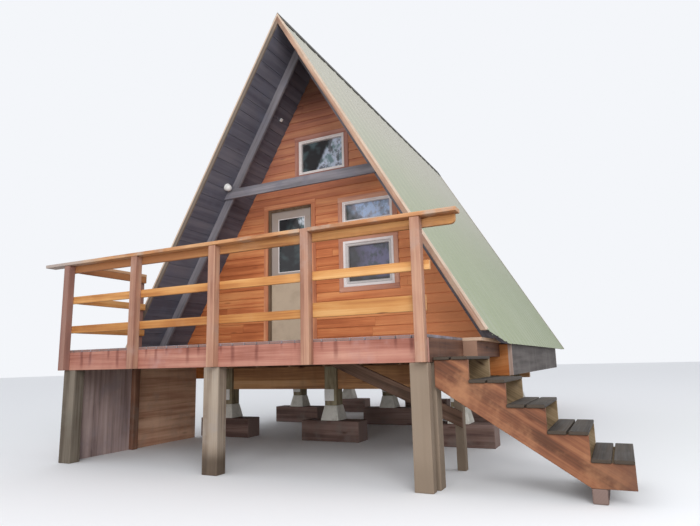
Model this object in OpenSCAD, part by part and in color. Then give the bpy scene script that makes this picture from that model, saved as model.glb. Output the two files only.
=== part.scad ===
/* [Deck] */
// Width of the deck and of the cabin floor
deck_width = 4570; // [3800:10:5400]
// Depth of the deck from its front rim to the front wall
deck_depth = 2300; // [2000:10:2800]
// Height of the deck top above the lowest ground
deck_height = 1300; // [1250:10:1600]
// Thickness of the deck boards
deck_board_thickness = 28; // [20:1:40]
// Depth of the rim joists
rim_depth = 210; // [180:1:240]
// Thickness of all sawn framing boards
board_thickness = 38; // [30:1:45]
// Depth of the deck joists
deck_joist_depth = 184; // [140:1:200]
// Number of deck joists behind the front rim
deck_joist_count = 5; // [4:1:7]

/* [Deck supports] */
// Width of the front support posts
support_width = 190; // [150:1:220]
// Depth of the left and middle support posts
support_depth = 140; // [100:1:190]
// Offset of the middle support post to the left of the centre line
middle_support_shift = 50; // [0:5:150]
// Depth of the front timber of the right support post
right_front_timber = 90; // [70:1:120]
// Width of that timber
right_front_width = 168; // [120:1:190]
// Depth of the timber behind it
right_rear_timber = 145; // [120:1:190]
// Gap between the two timbers of the right support post
timber_gap = 45; // [5:1:60]
// Amount by which the right support stands past the rim
support_proud = 15; // [0:1:20]
// Side of the slim rear support posts
rear_support_side = 89; // [70:1:120]
// Distance of the rear support posts behind the front rim
rear_support_y = 1020; // [900:10:1200]
// Width of the diagonal brace board
brace_width = 140; // [100:1:160]
// Slope of the diagonal brace in degrees
brace_angle = 23.5; // [18:0.5:28]
// Height of the lower edge of the brace below the deck top, at the right rim
brace_drop = 890; // [820:10:960]

/* [Railing] */
// Height of the rail cap above the deck
rail_height = 1063; // [900:1:1150]
// Side of the square rail posts
rail_post_side = 89; // [70:1:110]
// Width of the flat rail cap
cap_width = 140; // [120:1:170]
// Amount by which the cap stands proud of the rail posts
cap_proud = 11; // [0:1:25]
// Height of the rail boards
rail_board_height = 87; // [70:1:100]
// Height of the lowest rail board in the right bay
deep_rail_height = 140; // [90:1:150]
// Height of the upper rail board's lower edge above the deck
upper_rail_height = 558; // [480:1:620]
// Height of the lower rail board's lower edge above the deck
lower_rail_height = 202; // [120:1:300]
// Overhang of the cap past each end of the deck
cap_overhang = 335; // [200:5:400]
// Distance of the left side rails' rear end in front of the roof's front edge
side_rail_setback = 50; // [0:5:150]
// Overhang of the top rail board past the right end
top_rail_overhang = 300; // [100:5:320]
// Overhang of the upper rail board past the right end
low_rail_overhang = 50; // [0:5:80]
// Radius of the rounded end of the top rail board
rail_end_radius = 45; // [20:1:60]

/* [Roof] */
// Reach of the roof past each side of the deck at deck level, to the outside of the metal
roof_reach = 320; // [280:5:420]
// Height of the ridge above the deck
roof_rise = 4490; // [3900:10:5000]
// Drop of the roof's foot below the deck
roof_drop = 55; // [35:1:80]
// Length of the roof along the ridge
roof_length = 7370; // [7200:10:8200]
// Overhang of the roof in front of the front wall
porch_overhang = 1140; // [1000:4:1240]
// Thickness of the metal roofing with its ribs
sheet_thickness = 12; // [8:1:20]
// Thickness of the metal of the ribbed sheets
sheet_skin = 2; // [1:0.5:3]
// Largest spacing of the ribs of the metal sheets
rib_spacing = 306; // [200:2:400]
// Width of a rib at its foot
rib_foot_width = 56; // [44:1:70]
// Width of a rib along its flat top
rib_top_width = 22; // [10:1:36]
// Height of the corner that is missing at the front of the right eave
lost_corner_height = 125; // [10:5:180]
// Length of that corner along the eave
lost_corner_length = 740; // [100:10:900]
// Thickness of the roof boards and the strapping over them
roof_board_thickness = 63; // [50:1:75]
// Depth of the rafters
rafter_depth = 120; // [100:1:190]
// Largest spacing of the rafters
rafter_spacing = 610; // [500:5:640]
// Distance from the front wall to the porch rafter
porch_rafter_gap = 600; // [500:5:700]
// Width of the barge boards
barge_width = 63; // [50:1:110]
// Thickness of the barge boards
barge_thickness = 25; // [18:1:30]
// Width of each side of the ridge cap
ridge_cap_width = 150; // [100:5:200]
// Thickness of the ridge cap
ridge_cap_thickness = 4; // [2:1:6]
// Gap between pieces that are fitted to a slope
fit_gap = 0.5; // [0.2:0.1:1]
// Height of the collar beam's lower edge above the deck
collar_height = 2165; // [2080:5:2300]
// Depth of the collar beam
collar_depth = 140; // [120:1:190]

/* [Cabin] */
// Length of the cabin between the outer faces of its end walls
cabin_length = 4880; // [4600:10:5400]
// Thickness of the end walls
wall_thickness = 120; // [110:1:150]
// Thickness of the cabin floor
floor_thickness = 38; // [25:1:50]
// Depth of the floor joists
floor_joist_depth = 235; // [200:1:260]
// Depth of the floor beams
floor_beam_depth = 320; // [280:5:360]
// Width of the floor beams
floor_beam_width = 140; // [100:1:160]
// Distance of the floor beams' ends inside the edge of the floor
floor_beam_inset = 185; // [100:5:300]
// Thickness of the sill plates under the rafters
sill_thickness = 35; // [25:1:45]
// Width of the sill plates
sill_width = 200; // [185:1:215]
// Width of the eave beams
eave_beam_width = 150; // [120:1:170]
// Depth of the eave beams
eave_beam_depth = 165; // [140:1:200]
// Depth of the skirt below the deck top
skirt_drop = 420; // [300:10:480]
// Thickness of the skirt boards
skirt_thickness = 22; // [12:1:30]
// Width of the corner boards
corner_board_width = 45; // [30:1:90]
// Distance of the side skirts inside the roof's outer face at deck level
skirt_inset = 25; // [10:1:45]

/* [Piers] */
// Distance of the first row of piers behind the front wall
pier_inset = 330; // [250:10:500]
// Distance between the pier columns
pier_spacing = 1830; // [1600:10:1850]
// Side of the short pier posts
pier_post_side = 190; // [150:1:200]
// Thickness of the post cheek in front of the beam
pier_cheek = 50; // [30:1:60]
// Side of the top of a pier block
pier_block_top = 200; // [190:1:260]
// Side of the foot of a pier block
pier_block_foot = 290; // [260:1:400]
// Height of a pier block
pier_block_height = 205; // [150:5:250]
// Height of the top of the sleepers above the lowest ground
sleeper_height = 280; // [200:10:320]
// Length of the sleepers under the piers
sleeper_length = 900; // [600:10:1100]
// Width of the sleepers under the piers
sleeper_width = 300; // [290:5:420]
// Width of the metal bracket on a pier post
bracket_width = 150; // [100:1:170]
// Height of the metal bracket on a pier post
bracket_height = 160; // [120:1:190]
// Thickness of the metal bracket
bracket_thickness = 6; // [4:1:8]

/* [Stair] */
// Rise of each step
stair_rise = 195; // [180:1:205]
// Run of each step
stair_run = 295; // [281:1:320]
// Number of treads
tread_count = 5; // [4:1:5]
// Distance of the front stringer behind the front rim
stair_front_y = 100; // [90:5:200]
// Width of the stair over its stringers
stair_width = 860; // [700:10:900]
// Overhang of the treads past each stringer
tread_overhang = 20; // [0:1:40]
// Thickness of the tread boards
tread_thickness = 28; // [22:1:40]
// Width of one tread board
tread_board_width = 140; // [120:1:145]
// Height of the stringer's upper end
stringer_depth = 226; // [180:1:260]
// Depth of the ledger board behind the stringers' upper ends
ledger_depth = 184; // [140:1:220]
// Height of the stringer's toe
stringer_toe = 185; // [140:1:190]
// Width of the sleeper under the stair foot
stair_sleeper_width = 110; // [80:1:160]
// Distance of the stair sleeper back from the stair foot
stair_sleeper_inset = 310; // [160:10:330]

/* [Door] */
// Left edge of the door leaf from the centre line
door_left = -885; // [-900:5:-820]
// Width of the door leaf
door_width = 710; // [640:5:720]
// Height of the door leaf
door_leaf_height = 2032; // [1950:1:2060]
// Thickness of the door leaf
door_thickness = 45; // [35:1:50]
// Running gap around the door leaf
door_gap = 8; // [6:1:10]
// Thickness of the door jambs
jamb_thickness = 30; // [20:1:35]
// Thickness of the threshold
threshold_thickness = 30; // [20:1:40]
// Width of the door stop on the jambs
stop_width = 14; // [11:1:18]
// Depth of the door stop
stop_depth = 20; // [15:1:24]
// Distance of the door leaf behind the wall face
door_recess = 45; // [40:1:60]
// Radius of the hinge barrels
hinge_radius = 8; // [7:0.5:9]
// Radius of the hinge pins
hinge_pin_radius = 4; // [3:0.5:5]
// Clearance of the hinge knuckles on their pins
hinge_clearance = 0.3; // [0.2:0.1:0.5]
// Distance of the hinge pins behind the back of the leaf
hinge_offset = 9; // [9:0.5:10]
// Height of one hinge knuckle
hinge_knuckle = 32; // [25:1:40]
// Width of the hinge plates
hinge_plate_width = 28; // [20:1:30]
// Thickness of the hinge plates
hinge_plate_thickness = 3; // [2:0.5:4]
// Distance of the outer hinges from the ends of the leaf
hinge_inset = 180; // [150:5:250]
// Width of the rails and stiles around the door glass
door_stile = 120; // [100:5:150]
// Height of the lower edge of the door glass above the deck
door_glass_height = 1120; // [1000:10:1250]
// Diameter of the door knob
knob_diameter = 50; // [40:1:54]
// Reach of the knob from the face of the leaf
knob_length = 62; // [61:1:70]
// Thickness of the round plate behind the knob
knob_plate = 6; // [3:1:6]
// Diameter of the knob's neck
knob_neck = 22; // [16:1:30]
// Height of the door knob above the deck
knob_height = 960; // [900:10:1040]
// Distance of the door knob from the free edge
knob_inset = 65; // [60:1:70]

/* [Windows] */
// Width of every window
window_width = 765; // [680:5:780]
// Distance of the gable window's centre from the centre line
gable_window_x = 30; // [-40:5:60]
// Height of the gable window's sill above the deck
gable_window_sill = 2570; // [2540:5:2640]
// Height of the gable window
gable_window_height = 533; // [440:1:560]
// Distance of the right windows' centre from the centre line
right_window_x = 745; // [720:5:780]
// Height of the upper right window's sill above the deck
transom_sill = 1725; // [1700:5:1740]
// Height of the upper right window
transom_height = 316; // [260:1:320]
// Height of the lower right window's sill above the deck
low_window_sill = 808; // [760:1:860]
// Height of the lower right window
low_window_height = 653; // [560:1:660]
// Width of the window frame bars
frame_bar = 42; // [30:1:55]
// Depth of the window frames
frame_depth = 85; // [60:1:100]
// Thickness of the glass
glass_thickness = 8; // [4:1:12]
// Distance of the glass behind the front of its frame
glass_recess = 55; // [30:1:60]
// Width of the bars of the lower windows' sliding sash
sash_bar = 34; // [20:1:45]
// Distance of that sash behind the front of its frame
sash_recess = 12; // [5:1:18]
// Width of the trim around the door and windows
trim_width = 70; // [50:1:75]
// Thickness of that trim
trim_thickness = 22; // [15:1:30]
// Amount by which the door trim laps over the jambs
trim_lap = 12; // [0:1:18]

/* [Porch light] */
// Width of the porch light
light_width = 108; // [80:1:140]
// Height of the porch light's centre above the top of the collar beam
light_rise = 25; // [15:5:190]
// Distance of the porch light in front of the porch rafter
light_y_gap = 100; // [60:5:200]
// Thickness of the porch light's base
light_base = 20; // [10:1:30]
// Reach of the porch light from the roof boards
light_depth = 84; // [75:1:110]
// Width of the base's rim around the dome
light_rim = 4; // [2:1:10]

/* [Hidden] */
$fn = 48;

half_width = deck_width / 2;
roof_half_base = half_width + roof_reach;
floor_beam_reach = half_width - floor_beam_inset;
roof_angle = atan2(roof_rise, roof_half_base);
roof_front_y = deck_depth - porch_overhang;
roof_back_y = roof_front_y + roof_length;
rear_wall_y = deck_depth + cabin_length;
boards_inner = sheet_thickness + roof_board_thickness;
rafter_inner = boards_inner + rafter_depth;
fitted_inner = boards_inner + fit_gap;
skirt_outer = roof_half_base - skirt_inset;
skirt_inner = skirt_outer - skirt_thickness;
skirt_top = -max(roof_drop, sill_thickness);
corner_x = skirt_outer - corner_board_width;
stair_x = half_width + support_proud;
stair_end_x = stair_x + tread_count * stair_run;
right_support_back = right_front_timber + timber_gap + right_rear_timber;
rim_bottom = -deck_board_thickness - rim_depth;
joist_top = -floor_thickness;
joist_bottom = joist_top - floor_joist_depth;
beam_bottom = joist_bottom - floor_beam_depth;
ground = -deck_height;
rail_bay = (deck_width - rail_post_side) / 4;
cap_bottom = rail_height - board_thickness;
top_rail_z = cap_bottom - rail_board_height;
cap_front_y = -rail_post_side - cap_proud;
side_rail_end = roof_front_y - side_rail_setback;
door_bottom = threshold_thickness + door_gap;
door_top = door_bottom + door_leaf_height;
door_right = door_left + door_width;
opening_left = door_left - door_gap - jamb_thickness;
opening_right = door_right + door_gap + jamb_thickness;
opening_top = door_top + door_gap + jamb_thickness;
door_y = deck_depth + door_recess;
door_back_y = door_y + door_thickness;
hinge_x = door_left - door_gap / 2;
hinge_y = door_back_y + hinge_offset;
hinge_heights = [for (i = [0:2]) door_bottom + hinge_inset
    + i * (door_leaf_height - 2 * hinge_inset - 3 * hinge_knuckle) / 2];
glass_y = deck_depth - trim_thickness + glass_recess;
block_foot_z = ground + sleeper_height;
block_top_z = block_foot_z + pier_block_height;
stringer_bottom = -tread_count * stair_rise - tread_thickness - stringer_toe;
cap_left = half_width + cap_overhang;
overall_left = max(cap_left, roof_x(-roof_drop, 0));
overall_right = max(stair_end_x, roof_x(-roof_drop, 0));
mid_x = (overall_right - overall_left) / 2;
mid_y = (roof_back_y + cap_front_y) / 2;

// Half width of the roof at height z, at depth d below the metal's outer face
function roof_x(z, d) = roof_half_base * (1 - z / roof_rise) - d / sin(roof_angle);
// Height of the roof over the centre line at depth d below the outer face
function ridge_z(d) = roof_rise - d / cos(roof_angle);
// Places of count pieces of the given width spread evenly from a to b
function spread(a, b, width, spacing) =
    let (n = ceil((b - a - width) / spacing))
    [for (i = [0:n]) a + i * (b - a - width) / n];
pier_rows = [for (i = [0:2])
    deck_depth + pier_inset + i * (cabin_length - 2 * pier_inset) / 2];
pier_columns = [-pier_spacing, 0, pier_spacing];
cabin_rafters = spread(deck_depth + wall_thickness, rear_wall_y - wall_thickness,
    board_thickness, rafter_spacing);
rib_places = spread(roof_front_y, roof_back_y, rib_foot_width, rib_spacing);
rafter_places = concat([deck_depth - porch_rafter_gap], cabin_rafters,
    [rear_wall_y + porch_rafter_gap - board_thickness]);
rail_post_places = [for (i = [0:4]) -half_width + i * rail_bay];
// The lowest rail changes to a deeper board behind the fourth post
rail_joint_x = rail_post_places[3] + rail_post_side / 2;
// Window places: centre x, sill height, height, and whether it has a sash
front_windows = [[gable_window_x, gable_window_sill, gable_window_height, false],
    [right_window_x, transom_sill, transom_height, false],
    [right_window_x, low_window_sill, low_window_height, true]];
rear_windows = [[0, gable_window_sill, gable_window_height, false],
    [0, low_window_sill, low_window_height, true]];

// Moves a piece from the deck's own axes to the part's origin
module place() {
    translate([-mid_x, -mid_y, deck_height]) children();
}

// A box from its lowest to its highest corner
module block(low, high) {
    translate(low) cube(high - low);
}

// An outline in x and z, carried back from y by depth
module along_y(y, depth) {
    translate([0, y + depth, 0]) rotate([90, 0, 0]) linear_extrude(depth) children();
}

// One sloping layer of the roof between two depths; side is 1 right, -1 left
module slope_layer(side, outer, inner, foot) {
    polygon([[side * roof_x(foot, outer), foot], [0, ridge_z(outer)],
        [0, ridge_z(inner)], [side * roof_x(foot, inner), foot]]);
}

// Outline of the ribbed metal along y, with its height above the roof boards
module sheet_profile() {
    rib_rise = sheet_thickness - fit_gap - sheet_skin;
    slant = (rib_foot_width - rib_top_width) / 2;
    lower = [for (y = rib_places) each [[y, 0], [y + slant, rib_rise],
        [y + slant + rib_top_width, rib_rise], [y + rib_foot_width, 0]]];
    polygon(concat([for (p = lower) p + [0, sheet_skin]],
        [for (i = [len(lower) - 1:-1:0]) lower[i]]));
}

// The right slope's sheet: the profile runs down the slope, cut level at its foot
module roof_sheet() {
    intersection() {
        translate([0, 0, ridge_z(sheet_thickness - fit_gap)]) rotate([0, roof_angle, 0])
            rotate([90, 0, 90]) translate([0, 0, -sheet_thickness * tan(roof_angle)])
                linear_extrude((roof_rise + 2 * roof_drop) / sin(roof_angle)) sheet_profile();
        block([0, roof_front_y - sheet_thickness, -roof_drop],
            [2 * roof_half_base, roof_back_y + sheet_thickness, 2 * roof_rise]);
    }
}

// The front corner of the right eave, cut off along a slanting line
module lost_corner() {
    rotate([90, 0, 90]) linear_extrude(2 * roof_half_base)
        polygon([[roof_front_y - lost_corner_length, -roof_drop - lost_corner_height],
            [roof_front_y + 2 * lost_corner_length, -roof_drop - lost_corner_height],
            [roof_front_y - lost_corner_length, 2 * lost_corner_height - roof_drop]]);
}

module roof_boards(side) {
    along_y(roof_front_y + barge_thickness, roof_length - 2 * barge_thickness)
        slope_layer(side, sheet_thickness, boards_inner, -roof_drop);
}

module roof_sheet_left() {
    color([0.72, 0.76, 0.68]) place() mirror([1, 0, 0]) roof_sheet();
}

module roof_sheet_right() {
    color([0.72, 0.76, 0.68]) place() difference() {
        roof_sheet();
        lost_corner();
    }
}

module roof_boards_left() { color([0.27, 0.25, 0.29]) place() roof_boards(-1); }
module roof_boards_right() {
    color([0.27, 0.25, 0.29]) place() difference() {
        roof_boards(1);
        lost_corner();
    }
}

// Bent metal strip over the ridge
module ridge_cap() {
    foot = ridge_z(0) - ridge_cap_width * sin(roof_angle);
    outer = -fit_gap - ridge_cap_thickness;
    color([0.2, 0.22, 0.2]) place() along_y(roof_front_y, roof_length)
        polygon([[-roof_x(foot, -fit_gap), foot], [-roof_x(foot, outer), foot],
            [0, ridge_z(outer)], [roof_x(foot, outer), foot],
            [roof_x(foot, -fit_gap), foot], [0, ridge_z(-fit_gap)]]);
}

module rafters(side) {
    for (y = rafter_places)
        along_y(y, board_thickness) slope_layer(side, boards_inner, rafter_inner, 0);
}

module rafters_left() { color([0.40, 0.38, 0.38]) place() rafters(-1); }
module rafters_right() { color([0.40, 0.38, 0.38]) place() rafters(1); }

// Collar beam fixed across the front of the porch rafters
module collar_beam() {
    top = collar_height + collar_depth;
    color([0.45, 0.42, 0.40]) place()
        along_y(deck_depth - porch_rafter_gap - board_thickness, board_thickness)
            polygon([[-roof_x(collar_height, fitted_inner), collar_height],
                [roof_x(collar_height, fitted_inner), collar_height],
                [roof_x(top, fitted_inner), top], [-roof_x(top, fitted_inner), top]]);
}

module barge_boards(side) {
    for (y = [roof_front_y, roof_back_y - barge_thickness])
        along_y(y, barge_thickness)
            slope_layer(side, sheet_thickness, sheet_thickness + barge_width, -roof_drop);
}

module barge_boards_left() { color([0.80, 0.60, 0.42]) place() barge_boards(-1); }
module barge_boards_right() {
    color([0.80, 0.60, 0.42]) place() difference() {
        barge_boards(1);
        lost_corner();
    }
}

// Outline of an end wall between two heights, right up to the roof boards
module wall_outline(low, high) {
    top = min(high, ridge_z(fitted_inner));
    polygon([[-roof_x(low, fitted_inner), low], [roof_x(low, fitted_inner), low],
        [roof_x(top, fitted_inner), top], [-roof_x(top, fitted_inner), top]]);
}

// Openings for a list of windows
// The area of a window, less an inset on every side
module window_area(w, inset) {
    translate([w[0] - window_width / 2 + inset, w[1] + inset])
        square([window_width - 2 * inset, w[2] - 2 * inset]);
}

module window_holes(windows) {
    for (w = windows) window_area(w, 0);
}

module front_wall_left() {
    color([0.74, 0.40, 0.20]) place() along_y(deck_depth, wall_thickness)
        intersection() {
            wall_outline(0, opening_top);
            translate([-roof_half_base, 0])
                square([roof_half_base + opening_left, opening_top]);
        }
}

module front_wall_right() {
    color([0.74, 0.40, 0.20]) place() along_y(deck_depth, wall_thickness)
        difference() {
            intersection() {
                wall_outline(0, opening_top);
                translate([opening_right, 0])
                    square([roof_half_base - opening_right, opening_top]);
            }
            window_holes(front_windows);
        }
}

module front_gable() {
    color([0.62, 0.34, 0.20]) place() along_y(deck_depth, wall_thickness)
        difference() {
            wall_outline(opening_top, roof_rise);
            window_holes(front_windows);
        }
}

module rear_wall() {
    color([0.74, 0.40, 0.20]) place()
        along_y(rear_wall_y - wall_thickness, wall_thickness)
            difference() {
                wall_outline(0, roof_rise);
                window_holes(rear_windows);
            }
}

module cabin_floor() {
    color([0.55, 0.42, 0.30]) place()
        block([-half_width, deck_depth, -floor_thickness], [half_width, rear_wall_y, 0]);
}

module floor_joists() {
    color([0.45, 0.34, 0.26]) place()
        for (x = spread(-half_width, half_width, board_thickness, rafter_spacing))
            block([x, deck_depth + skirt_thickness, joist_bottom],
                [x + board_thickness, rear_wall_y - skirt_thickness, joist_top]);
}

module floor_beams() {
    color([0.42, 0.28, 0.18]) place()
        for (y = pier_rows)
            block([-floor_beam_reach, y - floor_beam_width / 2, beam_bottom],
                [floor_beam_reach, y + floor_beam_width / 2, joist_bottom]);
}

// Beams under the feet of the rafters, just outside the floor and deck
module eave_beams() {
    color([0.50, 0.38, 0.28]) place()
        for (side = [0, 1])
            mirror([side, 0, 0])
                block([half_width, roof_front_y, -sill_thickness - eave_beam_depth],
                    [half_width + eave_beam_width, roof_back_y, -sill_thickness]);
}

module sill_plates() {
    color([0.78, 0.62, 0.48]) place()
        for (side = [0, 1])
            mirror([side, 0, 0])
                block([half_width, roof_front_y, -sill_thickness],
                    [half_width + sill_width, roof_back_y, 0]);
}

// Short skirts that close the ends of the floor frame beside the beams
module end_skirts() {
    low = -skirt_drop;
    color([0.78, 0.44, 0.20]) place()
        for (side = [0, 1], y = [deck_depth, rear_wall_y - skirt_thickness])
            mirror([side, 0, 0]) {
                block([floor_beam_reach, y, low],
                    [half_width, y + skirt_thickness, joist_top]);
                block([half_width, y, low],
                    [half_width + eave_beam_width, y + skirt_thickness,
                    -sill_thickness - eave_beam_depth]);
                block([half_width + eave_beam_width, y, low],
                    [corner_x, y + skirt_thickness, skirt_top]);
            }
}

module side_skirts() {
    color([0.45, 0.42, 0.42]) place()
        for (side = [0, 1])
            mirror([side, 0, 0])
                block([skirt_inner, deck_depth + skirt_thickness, -skirt_drop],
                    [skirt_outer, rear_wall_y - skirt_thickness, skirt_top]);
}

module corner_boards() {
    color([0.80, 0.74, 0.70]) place()
        for (side = [0, 1], y = [deck_depth, rear_wall_y - skirt_thickness])
            mirror([side, 0, 0])
                block([corner_x, y, -skirt_drop],
                    [skirt_outer, y + skirt_thickness, skirt_top]);
}

// Short post on its block, notched so that a cheek stands before the beam
module pier_post(x, y) {
    front = y - floor_beam_width / 2 - pier_cheek;
    difference() {
        block([x - pier_post_side / 2, front, block_top_z],
            [x + pier_post_side / 2, front + pier_post_side, joist_bottom]);
        block([x - pier_post_side, front + pier_cheek, beam_bottom],
            [x + pier_post_side, front + 2 * pier_post_side, joist_bottom + 1]);
    }
}

module pier_posts() {
    color([0.44, 0.42, 0.34]) place()
        for (x = pier_columns, y = pier_rows)
            pier_post(x, y);
}

module pier_brackets() {
    color([0.75, 0.76, 0.76]) place()
        for (x = pier_columns, y = pier_rows)
            block([x - pier_post_side / 2,
                y - floor_beam_width / 2 - pier_cheek - bracket_thickness,
                beam_bottom - bracket_height],
                [x - pier_post_side / 2 + bracket_width,
                y - floor_beam_width / 2 - pier_cheek, beam_bottom]);
}

// Centre of the pier post behind its front face
post_mid_y = pier_post_side / 2 - floor_beam_width / 2 - pier_cheek;

// Block with four sloping sides: two tapers cut from one cube
module pier_block() {
    taper = (pier_block_foot - pier_block_top) / 2;
    half = pier_block_foot / 2;
    intersection() {
        along_y(-half, pier_block_foot)
            polygon([[-half, 0], [half, 0], [half - taper, pier_block_height],
                [taper - half, pier_block_height]]);
        rotate([0, 0, 90]) along_y(-half, pier_block_foot)
            polygon([[-half, 0], [half, 0], [half - taper, pier_block_height],
                [taper - half, pier_block_height]]);
    }
}

module pier_blocks() {
    color([0.52, 0.52, 0.50]) place()
        for (x = pier_columns, y = pier_rows)
            translate([x, y + post_mid_y, block_foot_z]) pier_block();
}

// Timber sleepers from the lowest ground up to the blocks and the stair foot
module sleepers() {
    sleeper_x = stair_end_x - stair_sleeper_inset;
    color([0.42, 0.30, 0.24]) place() {
        for (x = pier_columns, y = pier_rows)
            block([x - sleeper_length / 2, y + post_mid_y - sleeper_width / 2, ground],
                [x + sleeper_length / 2, y + post_mid_y + sleeper_width / 2, block_foot_z]);
        block([sleeper_x, stair_front_y, ground],
            [sleeper_x + stair_sleeper_width, stair_front_y + stair_width, stringer_bottom]);
    }
}

module deck_floor() {
    color([0.52, 0.46, 0.42]) place()
        block([-half_width, 0, -deck_board_thickness], [half_width, deck_depth, 0]);
}

module front_rim() {
    color([0.72, 0.48, 0.40]) place()
        block([-half_width, 0, rim_bottom],
            [half_width, board_thickness, -deck_board_thickness]);
}

module side_rims() {
    color([0.66, 0.44, 0.36]) place()
        for (side = [0, 1])
            mirror([side, 0, 0])
                block([half_width - board_thickness, board_thickness, rim_bottom],
                    [half_width, deck_depth, -deck_board_thickness]);
}

module deck_joists() {
    color([0.50, 0.38, 0.28]) place()
        for (i = [1:deck_joist_count])
            let (y = board_thickness
                + i * (deck_depth - 2 * board_thickness) / deck_joist_count)
            block([board_thickness - half_width, y, -deck_board_thickness - deck_joist_depth],
                [half_width - board_thickness, y + board_thickness, -deck_board_thickness]);
}

// Front posts at the left and middle, two timbers at the right, and slim rear posts
module support_posts() {
    middle = -middle_support_shift;
    left_x = stair_x - support_width;
    color([0.60, 0.53, 0.44]) place() {
        block([-half_width, 0, ground],
            [support_width - half_width, support_depth, rim_bottom]);
        block([middle - support_width / 2, 0, ground],
            [middle + support_width / 2, support_depth, rim_bottom]);
        block([left_x, 0, ground],
            [left_x + right_front_width, right_front_timber, rim_bottom]);
        block([left_x, right_front_timber + timber_gap, ground],
            [stair_x, right_support_back, rim_bottom]);
        for (side = [0, 1])
            mirror([side, 0, 0])
                block([half_width - rear_support_side, rear_support_y, ground],
                    [half_width, rear_support_y + rear_support_side, rim_bottom]);
    }
}

// Board under the right rim that carries the upper ends of the stringers
module stair_ledger() {
    color([0.52, 0.36, 0.28]) place()
        block([stair_x - board_thickness, right_support_back, rim_bottom - ledger_depth],
            [stair_x, rear_support_y, rim_bottom]);
}

// Diagonal board from the right rear post up to the deck frame
module deck_brace() {
    rise = tan(brace_angle);
    tall = brace_width / cos(brace_angle);
    color([0.45, 0.36, 0.28]) place()
        along_y(rear_support_y - board_thickness, board_thickness)
            polygon([[half_width, -brace_drop], [half_width, tall - brace_drop],
                [half_width - (rim_bottom + brace_drop - tall) / rise, rim_bottom],
                [half_width - (rim_bottom + brace_drop) / rise, rim_bottom]]);
}

// Two panels that close the left side under the deck
module left_skirt() {
    inner = skirt_thickness - half_width;
    color([0.36, 0.30, 0.26]) place() {
        block([-half_width, support_depth, ground], [inner, rear_support_y, rim_bottom]);
        block([-half_width, rear_support_y + rear_support_side, ground],
            [inner, deck_depth, rim_bottom]);
    }
}

// Posts on the outside of the rim; the fourth one rises through the cap
module rail_posts() {
    color([0.74, 0.53, 0.45]) place() {
        for (i = [0:4])
            block([rail_post_places[i], -rail_post_side, rim_bottom],
                [rail_post_places[i] + rail_post_side, 0,
                i == 3 ? rail_height : cap_bottom]);
        block([-half_width, side_rail_end - rail_post_side, 0],
            [rail_post_side - half_width, side_rail_end, cap_bottom]);
    }
}

// Flat caps: two along the front, split by the fourth post, and one at the left
module rail_caps() {
    color([0.80, 0.62, 0.42]) place() {
        block([-cap_left, cap_front_y, cap_bottom],
            [rail_post_places[3], cap_front_y + cap_width, rail_height]);
        block([rail_post_places[3] + rail_post_side, cap_front_y, cap_bottom],
            [cap_left, cap_front_y + cap_width, rail_height]);
        block([-half_width - cap_proud, cap_front_y + cap_width, cap_bottom],
            [cap_width - half_width - cap_proud, side_rail_end, rail_height]);
    }
}

// Outline of the top rail board with its rounded lower right end
module top_rail_outline(length) {
    corner = [length - rail_end_radius, rail_end_radius];
    difference() {
        square([length, rail_board_height]);
        translate([corner.x, 0]) square([rail_end_radius, rail_end_radius]);
    }
    intersection() {
        square([length, rail_board_height]);
        translate(corner) circle(rail_end_radius);
    }
}

module front_rails() {
    color([0.85, 0.62, 0.34]) place() {
        translate([-half_width, 0, top_rail_z]) along_y(0, board_thickness)
            top_rail_outline(deck_width + top_rail_overhang);
        block([-half_width, 0, upper_rail_height],
            [half_width + low_rail_overhang, board_thickness,
            upper_rail_height + rail_board_height]);
        block([-half_width, 0, lower_rail_height],
            [rail_joint_x - fit_gap, board_thickness,
            lower_rail_height + rail_board_height]);
        block([rail_joint_x, 0, lower_rail_height],
            [half_width, board_thickness, lower_rail_height + deep_rail_height]);
    }
}

module side_rails() {
    inner = rail_post_side - half_width;
    color([0.85, 0.62, 0.34]) place()
        for (z = [top_rail_z, upper_rail_height, lower_rail_height])
            block([inner, board_thickness, z],
                [inner + board_thickness, side_rail_end, z + rail_board_height]);
}

// Sawtooth outline of a stringer from the deck rim to its toe
module stringer_outline() {
    steps = [for (i = [1:tread_count], k = [0, 1])
        [stair_x + (i - 1 + k) * stair_run, -i * stair_rise - tread_thickness]];
    lower_slope = (stringer_depth - stringer_toe) / (tread_count * stair_run)
        - stair_rise / stair_run;
    toe_x = stair_end_x - stair_sleeper_inset + stair_sleeper_width / 2;
    throat = -stair_rise - tread_thickness - stringer_depth;
    run_out = (stringer_bottom - throat) / lower_slope;
    polygon(concat([[stair_x, throat]], steps,
        [[stair_end_x, stringer_bottom],
        [min(stair_x + run_out, toe_x), stringer_bottom]]));
}

module stair_stringers() {
    color([0.62, 0.36, 0.25]) place()
        for (y = [stair_front_y, stair_front_y + stair_width - board_thickness])
            along_y(y, board_thickness) stringer_outline();
}

// Two boards on every step
module stair_treads() {
    gap = stair_run - 2 * tread_board_width;
    color([0.34, 0.34, 0.30]) place()
        for (i = [1:tread_count], k = [0, 1]) {
            x = stair_x + (i - 1) * stair_run + k * (tread_board_width + gap);
            block([x, stair_front_y - tread_overhang, -i * stair_rise - tread_thickness],
                [x + tread_board_width, stair_front_y + stair_width + tread_overhang,
                -i * stair_rise]);
        }
}

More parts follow.
